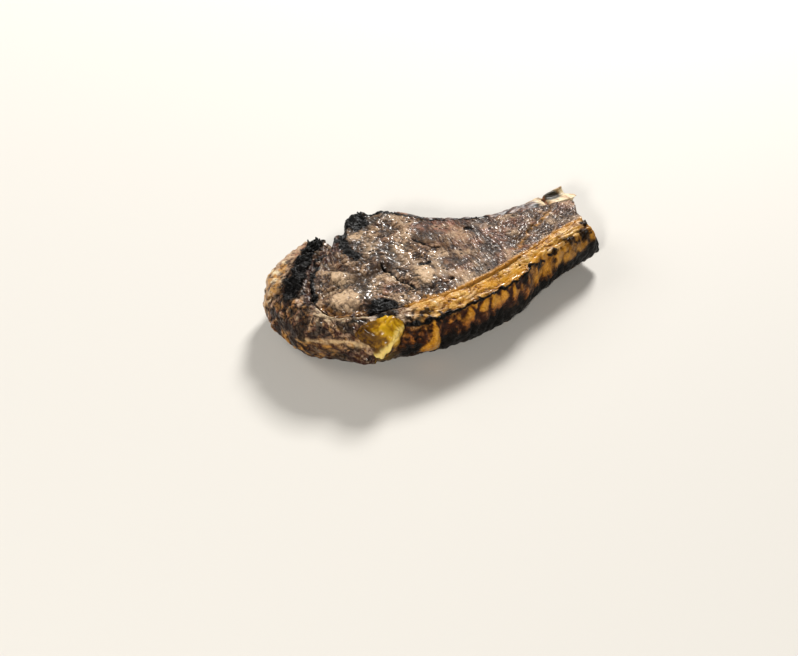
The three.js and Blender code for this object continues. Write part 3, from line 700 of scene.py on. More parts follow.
@dataclass(frozen=True)
class SearedBeef:
    """Beef muscle seared over coals: a dry grey-brown skin of fibres, wet with fat on its ridges."""

    name: str = "grill_seared_beef_crust"
    # lowest stop: painted shade in the creases
    crease_shade: str = "#0c0604"
    shade: str = "#35231a"
    body: str = "#6f563f"
    ridge: str = "#a6886c"
    # top stop: partly the paler dry crust, partly a painted highlight on the bulges
    dry: str = "#dcc6ae"
    pale: str = "#ceb08e"
    cream: str = "#eddcb4"
    rosy: str = "#8f5a48"
    ashen: str = "#3a332e"
    blood: str = "#331009"
    amber: str = "#bb822f"
    coal: str = "#030202"
    coal_light: str = "#1f1b18"

    def material(self) -> Material:
        """Material whose colour climbs from painted shade in the creases to painted highlight on the ridges,
        with patches laid over by share.
        """
        p = Palette(self.name)
        curl = p.crinkle(4.6)
        strand = p.times(p.crinkle(3.4, 0.3, (1, 0.25, 1)), 0.8, p.times(curl, 0.14))
        tooth = p.mix(p.mix(curl, strand, p.share("fibre")), 0.72, p.times(p.share("calm"), 0.6))
        # The tone follows the bump's height and the relief's level: the creases get painted shade and the
        # bulge tops painted highlight.
        tone = p.times(tooth, 0.6, p.times(p.share("level"), 0.85, -0.36))
        lit = p.span(tone, 0.08, 0.5, 0, 1)
        rosy = p.times(p.share("rosy"), p.span(p.grain(5, 3, 1), 0.4, 0.6, 0.15, 0.8))
        seared = [(0.04, self.crease_shade), (0.24, self.shade), (0.48, self.body)]
        colour = p.lay(
            p.ramp(tone, seared + [(0.74, self.ridge), (1, self.dry)]),
            (self.rosy, p.times(rosy, lit)),
            (self.ashen, p.share_by("ashen", tone, 0.3, 0.95, 0.95, 0.3)),
            (self.pale, p.share_by("pale", tone, 0.16, 0.62, 0.12, 1)),
            (self.cream, p.share_by("cream", tone, 0.3, 0.85, 0.1, 1)),
            (self.amber, p.times(p.share("amber"), lit)),
            (self.blood, p.share_by("blood", tone, 0.35, 0.9, 1, 0.3)),
            (p.ramp(tone, [(0.4, self.coal), (1, self.coal_light)]), p.share("char")),
        )
        grease = p.share("grease")
        rough = p.math("SUBTRACT", p.span(tooth, 0, 0.8, 0.66, 0.44), p.times(grease, 0.12))
        normal = p.bump(tooth, 0.7, Normal=p.bump(p.grain(1.6, 1), 0.1))
        # Beef skin scatters a little red light, and its film of fat reflects like a thin lacquer.
        return p.finish(
            Base_Color=colour, Roughness=rough, IOR=1.42, Specular_IOR_Level=0.14, Normal=normal,
            Coat_Weight=p.times(grease, p.span(tooth, 0.35, 0.85, 0.04, 0.75)), Coat_Roughness=0.13,
            Coat_IOR=1.46, Subsurface_Weight=0.02, Subsurface_Radius=(0.003, 0.0012, 0.0006),
        )


@dataclass(frozen=True)
class RoastedFat:
    """Beef fat roasted golden: clear where it has melted, toffee brown, and charred along its edge."""

    name: str = "roasted_beef_fat"
    # lowest stop of the ramps: painted shade in the gaps
    gap: str = "#1a0b03"
    toffee: str = "#70400f"
    gold: str = "#b9812e"
    tan: str = "#dcae60"
    clear: str = "#bb7c12"
    clear_light: str = "#e2a63c"
    amber_shade: str = "#4a2408"
    amber: str = "#a8651c"
    rust: str = "#2a0e04"
    coal: str = "#040302"
    coal_light: str = "#1f1b18"
    olive: str = "#6d5210"
    beef_shade: str = "#35231a"
    beef: str = "#735c4c"
    beef_ridge: str = "#cbb8a4"

    def material(self) -> Material:
        """Material that climbs with the bump's height from painted shade in the gaps to the tan ridges, with
        the other shares laid over it.
        """
        p = Palette(self.name)
        tooth = p.crinkle(4.4)
        # The tone follows the bump's height and the level, so the gaps get painted shade and the ridges are
        # lighter.
        tone = p.times(tooth, 0.45, p.times(p.share("level"), 0.95, -0.14))
        golden = [(0.04, self.gap), (0.26, self.toffee), (0.56, self.gold), (0.95, self.tan)]
        beef = [(0.06, self.gap), (0.26, self.beef_shade), (0.52, self.beef), (0.95, self.beef_ridge)]
        amber = [(0.08, self.gap), (0.4, self.amber_shade), (0.8, self.amber)]
        clear = [(0.1, self.toffee), (0.45, self.clear), (1, self.clear_light)]
        colour = p.lay(
            p.ramp(tone, golden),
            (p.ramp(tone, beef), p.share("beef")),
            (p.ramp(tone, amber), p.share("side")),
            (p.ramp(tone, clear), p.share("clear")),
            (self.olive, p.share_by("olive", tone, 0.15, 0.5, 0.4, 1)),
            (self.rust, p.share_by("rust", tone, 0.3, 0.9, 1, 0.5)),
            (p.ramp(tone, [(0.4, self.coal), (1, self.coal_light)]), p.share("char")),
        )
        normal = p.bump(tooth, 0.35, Normal=p.bump(p.grain(1.1, 2), 0.12))
        # Melted fat is wet and lets light in, so it glows where it is thin.
        return p.finish(
            Base_Color=colour, Roughness=p.span(tooth, 0, 0.8, 0.55, 0.35), IOR=1.45, Specular_IOR_Level=0.14,
            Normal=normal, Coat_Weight=p.share_by("wet", tone, 0.2, 0.7, 0.05, 0.45), Coat_Roughness=0.16,
            Coat_IOR=1.46, Subsurface_Weight=0.08, Subsurface_Radius=(0.006, 0.003, 0.0008),
        )


@dataclass(frozen=True)
class SoftFat:
    """Fat that has just melted: a pale yellow jelly, glassy outside and cloudy within."""

    name: str = "melted_beef_fat"
    # lowest stop: painted shade in the hollows
    deep: str = "#3a2202"
    body: str = "#8e6206"
    light: str = "#c89b1a"
    cream: str = "#f0d47e"
    brown: str = "#301604"

    def material(self) -> Material:
        """Material that runs from ochre painted as shade in the hollows to yellow and cream, browned at its
        rim.
        """
        p = Palette(self.name)
        cloud = p.grain(3.2, 3, 0.4)
        tone = p.times(cloud, 0.5, p.times(p.share("level"), 0.9, -0.25))
        fleck = p.span(p.grain(2.4, 3, 0.6), 0.42, 0.6, 0.25, 1)
        colour = p.lay(
            p.ramp(tone, [(0.1, self.deep), (0.45, self.body), (0.9, self.light)]),
            (self.cream, p.share("cream")),
            (self.brown, p.times(p.share("browned"), fleck)),
        )
        # The jelly scatters light deep inside, under a wet skin.
        return p.finish(
            Base_Color=colour, Roughness=0.38, IOR=1.46, Specular_IOR_Level=0.12,
            Normal=p.bump(p.grain(1.6, 2), 0.2), Coat_Weight=0.25, Coat_Roughness=0.14, Coat_IOR=1.46,
            Subsurface_Weight=0.2, Subsurface_Radius=(0.007, 0.0045, 0.0008),
        )


@dataclass(frozen=True)
class BareBone:
    """Rib bone, scraped and scorched: dry ivory with a fibrous grain, and dried membrane further in."""

    name: str = "scorched_rib_bone"
    pore: str = "#6b4a2a"
    ivory: str = "#ad8e5c"
    white: str = "#e6d3ac"
    tan: str = "#a87c4e"
    rust: str = "#8a4a20"
    membrane_gap: str = "#160a06"
    membrane: str = "#4a2d20"
    membrane_light: str = "#8f6a50"
    coal: str = "#0b0806"

    def material(self) -> Material:
        """Material of fine lengthwise grain, with the roast membrane, rust and char laid over it."""
        p = Palette(self.name)
        fibre = p.grain(1.1, 3, 0.2, (0.2, 1, 1))
        fine = p.grain(1.4, 4, 0.5)
        tone = p.times(fibre, 0.5, p.times(p.share("level"), 0.7, -0.1))
        skin = p.crinkle(5.0, 0.6, (0.35, 1, 1))
        # The membrane's tone follows its crinkle's height, so its creases get painted shade.
        skin_tone = p.times(skin, 0.5, p.times(p.share("level"), 0.7, -0.2))
        dried = [(0.1, self.membrane_gap), (0.42, self.membrane), (0.9, self.membrane_light)]
        colour = p.lay(
            p.ramp(tone, [(0.12, self.pore), (0.4, self.ivory), (0.75, self.white)]),
            (self.tan, p.share_by("tan", fine, 0.3, 0.6, 0.5, 1)),
            (p.ramp(skin_tone, dried), p.share("sheath")),
            (self.rust, p.share("rust")),
            (self.coal, p.share("char")),
        )
        # Bone is dry and chalky; the dried membrane on it has a faint greasy shine.
        return p.finish(
            Base_Color=colour, Roughness=p.span(fine, 0.3, 0.7, 0.6, 0.45), IOR=1.55, Specular_IOR_Level=0.22,
            Normal=p.bump(p.mix(fibre, skin, p.share("sheath")), 0.4),
            Coat_Weight=p.times(p.share("sheath"), 0.1), Coat_Roughness=0.25, Coat_IOR=1.46,
            Subsurface_Weight=0.06, Subsurface_Radius=(0.003, 0.002, 0.001),
        )


@dataclass(frozen=True)
class CharredCrumb:
    """Meat burnt to carbon: matt black with grey ash on it and small glassy breaks."""

    name: str = "burnt_crumb"
    coal: str = "#0a0807"
    ash: str = "#262320"

    def material(self) -> Material:
        """Material of black carbon with grey ash in patches."""
        p = Palette(self.name)
        patch = p.grain(1.6, 3)
        colour = p.ramp(patch, [(0.42, self.coal), (0.7, self.ash)])
        # Carbon drinks the light, and only its unburnt breaks shine a little.
        rough = p.span(patch, 0.3, 0.7, 0.45, 0.7)
        return p.finish(Base_Color=colour, Roughness=rough, Specular_IOR_Level=0.25)


@dataclass
class SteakPiece:
    """A visible piece of the steak that stands for one of its solids."""

    name: str
    node: str
    slot: str
    finish: Any
    wrap_rows: bool = False
    wrap_columns: bool = False

    def grid(self) -> Grid:
        """Return the grid of points with the distances over the top and along the piece."""
        raise NotImplementedError

    def dress(self, skin: Skin) -> Dressing:
        """Return the fine relief and the finish shares of the piece's skin."""
        raise NotImplementedError

    def build(self) -> Thing:
        """Make the mesh, lay its fine relief on it, give it its finish and put it in place of its solid.

        Returns:
            The finished object.
        """
        points, over, along = self.grid()
        extras = {"over": over, "along": along}
        mesh = grid_mesh(self.name, points, extras, self.wrap_rows, self.wrap_columns)
        skin = read_skin(mesh)
        dressing = self.dress(skin)
        write_places(mesh, skin.place + skin.normal * dressing.height[:, None])
        for key, values in dressing.shares.items():
            set_share(mesh, key, np.clip(values, 0, 1))
        for key in extras:
            mesh.attributes.remove(mesh.attributes[key])
        mesh.materials.append(self.finish.material())
        piece = link_object(self.name, mesh)
        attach(piece, "root")
        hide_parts(self.node)
        log.info("%s: %d vertices, %d faces", self.name, len(mesh.vertices), len(mesh.polygons))
        return piece


def ragged(skin: Skin, coarse: float = 2.0, fine: float = 0.8) -> tuple[Array, Array]:
    """Plan positions moved by two sizes of noise, so that a patch drawn on them has a torn edge.

    Args:
        skin: Vertices of the piece.
        coarse: Reach of the 7 mm noise.
        fine: Reach of the 2 mm noise.

    Returns:
        The moved x and y.
    """
    moved = GRAIN.shift(GRAIN.shift(skin.place, 7, coarse), 2, fine)
    return moved[:, 0], moved[:, 1]


def combine(*shares: Array) -> Array:
    """Return the greatest of several shares at each vertex."""
    return np.maximum.reduce(shares)


def patches(x: Array, y: Array, rows: Any) -> Array:
    """Return the greatest share of a set of oval patches, each row its middle, reach, turn and strength."""
    return combine(*(strength * spot(x, y, middle, reach, turn) for middle, reach, turn, strength in rows))


def blots(place: Array, size: float, low: float, high: float, shift: float = 0) -> Array:
    """Return scattered blots of about a size in millimetres: noise eased from low to high."""
    return smooth(low, high, noise(place + shift, size, 2))


def creased(place: Array, sizes: Pair, heights: Pair, shift: float) -> Array:
    """Return creased bulges of a coarse and a fine size, with a height for each and a mean near 0."""
    coarse = heights[0] * (creases(place, sizes[0]) - CREASE_MEAN)
    return coarse + heights[1] * (creases(place + shift, sizes[1]) - CREASE_MEAN)


def wrinkled(place: Array) -> Array:
    """Curly wrinkles of a greasy crust: creased bulges of 6 mm and 3 mm, about -0.6 to 0.8."""
    bent = GRAIN.shift(GRAIN.shift(place, 9, 3.0), 4, 1.0)
    return creased(bent, (6.4, 3.2), (1.0, 0.4), 40)


def fibrous(place: Array, heading: float, pitch: float) -> Array:
    """Shrunken fibres: creased bulges drawn out along a heading.

    Args:
        place: Positions in plan millimetres, (count, 3).
        heading: Direction of the fibres in plan, in degrees from +X.
        pitch: Distance between fibres in millimetres.

    Returns:
        Height of about -0.5 to 0.5.
    """
    bent = GRAIN.shift(place, 11, 3.0)
    c, s = np.cos(np.radians(heading)), np.sin(np.radians(heading))
    along, across = c * bent[:, 0] + s * bent[:, 1], c * bent[:, 1] - s * bent[:, 0]
    drawn = np.stack([along / 4.5, across, bent[:, 2] / 2], axis=1)
    return creased(drawn, (pitch, 0.5 * pitch), (0.6, 0.4), 50)


def charred(place: Array) -> Array:
    """Crumbled char: torn lumps of 8 and 4 mm with creases between them, about -1 to 1."""
    bent = GRAIN.shift(GRAIN.shift(place, 9, 2.5), 3, 1.2)
    _, gap = GRAIN.cells(bent, 4.6)
    lumps = 1.2 * creases(bent, 8) + 0.6 * creases(bent + 60, 3.6)
    return lumps + 0.4 * smooth(0, 0.3, gap) - 1.1


def pitted(place: Array, size: float, wide: float) -> Array:
    """Return small round pits in some cells of a size: 1 at the middle, 0 past a width in cell sizes."""
    nearest, _ = GRAIN.cells(place, size)
    return (1 - smooth(0.4 * wide, wide, nearest)) * smooth(0.1, 0.3, noise(place, 3 * size))


def burnt_level(place: Array, middle: float, swing: float) -> Array:
    """Return the finish level of burnt places: the crumbled char's height about a middle, 0 to 1."""
    return np.clip(middle + swing * charred(place), 0, 1)


# Lines of the photographed marks, on the plan.
SLIT = ((-44, -8), (-41, -13), (-40, -20), (-37, -28), (-34, -34), (-31, -39))
SHORT_SLIT = ((-30, -25), (-25, -28))
DOTTED_SLIT = ((-36, -38), (-26, -42), (-14, -42), (-5, -38))
CRACK = ((-14, 14), (-11, 10), (-8, 5), (-5, 1), (-2, 0), (1, -1))
TRENCH = ((-57, 42), (-60, 30), (-61, 16), (-57, 5))
HEAD_SEAM = ((-78, 16), (-84, 8), (-89, 0), (-92, -8), (-94, -17), (-95, -26))
BACK_SEAM = ((-16, 55), (-8, 46), (4, 36), (20, 27), (38, 21.5))
TAIL_SEAM = ((47, -22), (57, -14), (68, -3), (80, 5), (90, 13))
FOLD = ((-97, -36), (-96, -42), (-92, -47), (-86, -50), (-78, -51.5), (-70, -53.5), (-64, -54))
GROOVE = ((-92, -38), (-90, -43), (-83, -46.5), (-75, -49), (-68, -51))
VALLEYS = (
    ((-78, 3), (-72, -1), (-66, -7), (-64, -16), (-58, -16), (-50, -13), (-43, -9)),
    ((-66, -18), (-66, -26), (-64, -34), (-62, -42)),
)
ROPE = ((-95, -26), (-88, -24), (-82, -22), (-75, -20), (-68, -20))
CHINE_LINE = ((-50, 50), (-47, 58), (-37, 61), (-24, 58), (-15, 56))
BURNT_BAND = ((-73, 44), (-77, 38), (-84, 28), (-90, 18), (-96, 8), (-103, -3), (-108, -13))
TOP_RIM = ((-87, 49), (-94, 42), (-101, 35))
# Line along the cap's rim shoulder where a cream highlight is painted.
HIGHLIGHT_RIM = ((-88, 49), (-97, 43), (-104, 36))
GOLD_RIM = ((-104, 30), (-110, 22), (-115, 12), (-118, 4))
DARK_RIM = ((-121, -8), (-118, -20), (-112, -33))
TAIL_EDGE = ((32, -55), (41, -50), (49, -41), (61, -34), (71, -30), (90, -22), (107, -15.5), (114, -13))
BONE_CRACK = ((96.6, 38), (96.4, 34.5), (95.6, 28), (94.6, 22))
BONE_TAN = ((82, 34), (100, 39), (112, 40))
BONE_RUST = ((92, 36), (97, 34))
# Oval patches of the photographed marks: middle and reach on the plan, turn in degrees, strength.
BULGES = (
    ((-73, -11), (9, 8), -20, 1),
    ((-77, -35), (11, 10.5), 60, 1),
    ((-21, -27), (13, 7.5), 80, 1),
    ((-50, 32), (9, 6.5), 30, 0.7),
)
PALE_PATCHES = BULGES + (
    ((-26, 8), (9, 6), 70, 0.55),
    ((-46, -44), (10, 6), -10, 0.7),
    ((-56, -30), (11, 6), 70, 0.65),
    ((8, -42), (16, 6), 15, 0.6),
    ((22, -27), (12, 7), 30, 0.35),
)
ASHEN_PATCHES = (
    ((-6, 16), (11, 8), -55, 0.6),
    ((-9, -26), (12, 6), 80, 0.8),
    ((-37, -16), (8, 5), -70, 0.7),
    ((-64, -32), (13, 5), 95, 0.9),
    ((-55, 8), (12, 7), 70, 0.6),
    ((-43, 8), (26, 13), -55, 0.95),
    ((-27, -14), (16, 7), -35, 0.7),
    ((-27, 50), (15, 9), 0, 0.9),
    ((-44, 42), (12, 5), 20, 0.8),
    ((40, 12), (12, 6), 10, 0.4),
    ((86, 12), (16, 7), 20, 0.5),
    ((60, 4), (14, 8), 30, 0.35),
)
ROSY_PATCHES = (
    ((8, 24), (22, 10), -10, 1),
    ((38, -2), (13, 5), -75, 1),
    ((24, -2), (10, 6), -80, 0.6),
    ((-50, -37), (13, 9), 20, 0.7),
    ((-70, 26), (16, 8), 60, 0.7),
    ((75, 24), (12, 5), 10, 0.9),
)
CHAR_PATCHES = (
    ((-58, -49.5), (11, 7.5), 6, 1),
    ((-16, -16.5), (3.6, 1.8), -8, 0.9),
    ((-43, 46), (9, 5), 20, 0.7),
    ((-66, 33), (4, 7), 60, 0.7),
)
TAIL_CHAR_PATCHES = (
    ((89, -20), (6, 3), 10, 1),
    ((104, -15), (6, 3), 0, 1),
    ((107, -8), (4, 3.4), 0, 1),
    ((74, -28), (4, 2), 20, 1),
)
CLEAR_PATCHES = (
    ((33, -47), (13, 3.4), 24, 1),
    ((14, -51), (8, 2.2), 18, 1),
    ((56, -34), (8, 2.6), 35, 1),
)


@dataclass
class Meat(SteakPiece):
    """The eye and tail muscle: profiles from a spine over the top, round the rim and back below."""

    name: str = "seared_meat"
    node: str = "meat"
    slot: str = "meat"
    finish: Any = field(default_factory=SearedBeef)
    wrap_rows: bool = True
    spacing: float = 0.8
    samples: int = 3000
    top_rings: int = 88
    turns: int = 24
    under_rings: int = 22
    fat_places: Pair = (13, 22)  # rim places between which the band of fat lies

    def stations(self) -> tuple[Array, Array]:
        """Return the rim places of the profiles and the spine position from which each starts."""
        around = len(MEAT_RIM)

        def run(start: float, end: float) -> tuple[Array, Array, Array]:
            """Return places, rim rows and arc lengths along a stretch of the rim."""
            place = np.linspace(start, end, self.samples)
            row = FORM.rim(place)
            step = np.hypot(*np.diff(row[:, :2], axis=0).T)
            return place, row, np.concatenate([[0], np.cumsum(step)])

        def fan(start: float, end: float) -> Array:
            """Return evenly spaced rim places on a stretch of the rim, ends included."""
            place, _, length = run(start, end)
            count = int(round(length[-1] / self.spacing))
            return np.interp(np.linspace(0, length[-1], count + 1), length, place)

        back_place, back, back_length = run(HEAD_CROSSINGS[0] + around, TAIL_CROSSINGS[1])
        front_place, front, front_length = run(HEAD_CROSSINGS[1], TAIL_CROSSINGS[0])
        x = np.linspace(*FORM.spine_x, self.samples)
        mean = (np.interp(x, back[:, 0], back_length) + np.interp(x, front[:, 0], front_length)) / 2
        inner = np.interp(np.linspace(0, mean[-1], int(round(mean[-1] / self.spacing)) + 1)[1:-1], mean, x)
        head, tail = fan(*HEAD_CROSSINGS), fan(*TAIL_CROSSINGS)
        head_x, tail_x = (np.full(len(end), x) for end, x in zip((head, tail), FORM.spine_x))
        near = np.interp(inner, front[:, 0], front_place)
        far = np.interp(inner[::-1], back[:, 0], back_place)
        return np.concatenate([head, near, tail, far]), np.concatenate([head_x, inner, tail_x, inner[::-1]])

    def grid(self) -> Grid:
        """Return the meat's grid: top rings, then the rounded rim, then the underside back to the spine."""
        place, spine_x = self.stations()
        rim = FORM.rim(place)
        sizes = rim[:, 2:]
        sx, sy = (v[:, None] for v in FORM.spine(spine_x))
        length = np.hypot(rim[:, 0] - sx[:, 0], rim[:, 1] - sy[:, 0])[:, None]
        ox, oy = (rim[:, 0, None] - sx) / length, (rim[:, 1, None] - sy) / length
        reach = (length - sizes[:, :1]) * np.linspace(0, 1, self.top_rings + 1)
        x, y = sx + ox * reach, sy + oy * reach
        top = FORM.top_face(x.ravel(), y.ravel()) + FORM.relief(x.ravel(), y.ravel())
        top = np.stack([x, y, top.reshape(x.shape)], axis=-1)
        under_length = length - sizes[:, 2:3]
        under = FORM.underside((sx + ox * under_length)[:, 0], (sy + oy * under_length)[:, 0], 0)
        turn = np.pi * np.arange(1, self.turns + 1) / self.turns
        inset, height = FORM.edge(turn, sizes, top[:, -1, 2], under)
        free = np.clip((sizes[:, :1] - EdgeKind.JOINT.value.shoulder) / 3, 0, 1)
        x, y = rim[:, :1] - ox * inset, rim[:, 1:2] - oy * inset
        swell = 1.3 * roughness(x, y, height, 11, 2)
        swell += FORM.crags(x.ravel(), y.ravel(), height.ravel()).reshape(x.shape)
        swell = free * np.sin(turn) * swell
        wall = np.stack([x + ox * swell, y + oy * swell, height], axis=-1)
        share = np.arange(1, self.under_rings + 1) / self.under_rings
        reach = under_length * (1 - share)
        x, y = sx + ox * reach, sy + oy * reach
        below = FORM.underside(x, y, np.minimum(1, 1.5 * share))
        points = FORM.shape_foot(np.concatenate([top, wall, np.stack([x, y, below], axis=-1)], axis=1))
        return points, np.zeros(points.shape[:2]), np.zeros(points.shape[:2])

    @staticmethod
    def weave(p: Array, head: Array, tail: Array, beside_fat: Array, strands: Array) -> Array:
        """Return fibres along each muscle's own heading, and curly wrinkles alone over the head."""
        curls = wrinkled(p)
        lengthwise = fibrous(p, 42, 4.2) + 0.5 * curls
        relief = mix(0.6 * fibrous(p, -80, 2.8) + 0.35 * curls, lengthwise, 0.75 * tail)
        relief = mix(relief, curls, head)
        relief = mix(relief, 0.8 * fibrous(p, 24, 2.4) + 0.3 * curls, 0.8 * beside_fat)
        return mix(relief, 1.5 * fibrous(p, 60, 3.2) + 0.3 * curls, strands)

    @staticmethod
    def burns(p: Array, x: Array, y: Array) -> Array:
        """Return the share of char: the chine corner, the seams, the trench and a few patches."""
        low = mix(0.35, 1, smooth(10, 27, p[:, 2] + 4 * noise(p, 9)))
        char = combine(
            near_line(CHINE_LINE, x, y, 2.5, 7) * low,
            spot(x, y, (-43.5, 52), (8, 10), -10) * low,
            0.9 * near_line(HEAD_SEAM, x, y, 0.8, 2.6),
            0.9 * near_line(BACK_SEAM, x, y, 0.3, 2.6),
            0.85 * near_line(TRENCH, x, y, 1.5, 5),
            patches(x, y, CHAR_PATCHES),
        )
        return smooth(0.08, 0.62, char)

    @staticmethod
    def cuts(p: Array, x: Array, y: Array) -> Array:
        """Return the share of the slits, the crack, the hole and the dotted seams."""
        dotted = smooth(-0.25, 0.15, noise(p, 3.5))
        return combine(
            near_line(SLIT, x, y, 0.5, 1.1),
            near_line(CRACK, x, y, 0.7, 1.5),
            smooth(0.1, 0.5, spot(x, y, (27, 11), (3.6, 2.0), -20)),
            0.8 * near_line(SHORT_SLIT, x, y, 0.4, 1.4),
            0.8 * dotted * near_line(DOTTED_SLIT, x, y, 0.5, 1.4),
            0.7 * dotted * near_line(TAIL_SEAM, x, y, 0.5, 1.5),
        )

    def dress(self, skin: Skin) -> Dressing:
        """Return the woven relief with its cuts, valleys, smooth bulges and char, and the finish shares."""
        p = skin.place
        x, y = ragged(skin)
        face = smooth(0.35, 0.75, skin.normal[:, 2])
        walls = 1 - face
        head, tail = smooth(6, -24, x), smooth(34, 52, x)
        fat_rim = FORM.rim(np.linspace(*self.fat_places, 40))[:, :2]
        fat_side = line_field(fat_rim, p[:, 0], p[:, 1])[0]
        beside_fat = smooth(13, 4, fat_side) * smooth(-45, -30, x)
        broad = creases(GRAIN.shift(p, 12, 3), 9) - 0.45
        strands = spot(x, y, (-73, 21), (27, 9), 60)
        relief = self.weave(p, head, tail, beside_fat, strands)
        char, slits = self.burns(p, x, y), self.cuts(p, x, y)
        pits = pitted(p, 4.6, 0.26) * face
        valleys = combine(*(near_line(line, x, y, 1.5, 5.5) for line in VALLEYS))
        distance, _, side = line_field(SLIT, p[:, 0], p[:, 1])
        rope = across_line(ROPE, x, y, 1.3) * (0.55 + 0.45 * np.sin(2.4 * x))
        lip = bell((distance - 1.7) / 0.7) * (side < 0) * face * blots(p, 3, -0.3, 0.2)
        lip = combine(lip, 0.8 * rope)
        groove = near_line(GROOVE, x, y, 1.5, 4)
        height = relief + 0.9 * broad * head + 0.5 * lip - slits - 0.7 * pits - 0.8 * groove
        bulges = smooth(0.06, 0.8, patches(x, y, BULGES))
        outline = 4 * bulges * (1 - bulges)
        height = mix(height, 0.6 * height + 0.35, 0.8 * bulges) - 0.35 * outline
        height = mix(height, 1.2 * charred(p), 0.85 * char)
        # The meat's wall at the seam with the fat is painted golden and light: painted light that lifts the
        # crevice's shade, as if bounced from the fat.
        joint_glow = smooth(3.4, 1.0, fat_side) * smooth(-52, -40, x) * smooth(14, 20, p[:, 2])
        tail_fat = across_line(TAIL_SEAM, x, y, 1.5) * blots(p, 9, -0.8, -0.3)
        rim_fat = spot(x, y, (-22, -52), (20, 5), 5) * smooth(-0.2, 0.2, noise(p, 6))
        blotch, flush = noise(p + 70, 16, 3), noise(p + 33, 14, 2)
        # The level follows the relief, so creases are painted darker as shade and ridges lighter; the
        # blotches are the crust's own tone.
        level = 0.52 + 0.08 * head + (0.4 + 0.2 * tail) * relief + 0.3 * broad * head + 0.3 * blotch
        level = np.clip(level - 0.15 * tail, 0, 1)
        # The slits and pits are painted dark as shade in the cuts.
        level = level * (1 - slits) * (1 - 0.9 * pits) + 0.2 * lip
        shade = 0.64 + 0.6 * (level - 0.5) + 0.25 * noise(p + 17, 5, 2)
        # A line of painted shade runs round each bulge, in the crease at its edge.
        level = mix(level, shade, 0.85 * bulges) - 0.5 * outline * blots(p, 7, -0.6, 0)
        # The valleys are painted dark as shade.
        level = mix(level, 0.3 * level, 0.85 * valleys)
        level = mix(level, 0.6 * level, strands)
        ashen = patches(x, y, ASHEN_PATCHES)
        burnt_walls = 0.9 * walls * smooth(0, 0.6, noise(p, 24, 4)) * (1 - joint_glow)
        bloody_strands = 0.75 * strands * smooth(-0.1, 0.25, noise(p, 5))
        shares = {
            "level": mix(mix(level, 0.8, 0.7 * joint_glow), burnt_level(p, 0.42, 0.35), char),
            # Here the slits and pits are painted near-black as shade in the cuts.
            "char": combine(char, slits, 0.8 * pits, burnt_walls),
            "pale": combine(
                0.85 * patches(x, y, PALE_PATCHES) * (1 - 0.8 * char), 0.3 * smooth(0.1, 0.5, blotch) * face,
            ),
            "cream": 0.5 * lip,
            "calm": combine(0.35 * tail, 0.25 * bulges, 0.7 * valleys, 0.6 * ashen, 0.5 * lip, 0.6 * char),
            "rosy": combine(
                patches(x, y, ROSY_PATCHES), 0.3 * smooth(0, 0.5, flush),
                (0.5 + 0.35 * tail) * (1 - head) * smooth(-0.3, 0.3, flush),
            ),
            # The valleys are painted grey as shade here too; the patches and the dark blotches are ash-grey
            # tone.
            "ashen": combine(ashen, 0.6 * valleys, 0.55 * smooth(0, -0.5, blotch)) * (1 - 0.6 * tail),
            "blood": combine(0.5 * groove, bloody_strands, 0.5 * walls) * (1 - joint_glow),
            # The amber includes the painted bounce light at the seam with the fat.
            "amber": combine(
                0.85 * tail_fat, 0.9 * joint_glow, 0.8 * rim_fat, 0.6 * groove * blots(p, 5, -0.5, 0, 8),
            ),
            "grease": mix(0.26, 0.9, head) * (1 - 0.95 * char) * (1 - 0.5 * bulges),
            "fibre": combine((1 - head) * (0.7 - 0.6 * tail), strands),
        }
        return Dressing(height, shares)


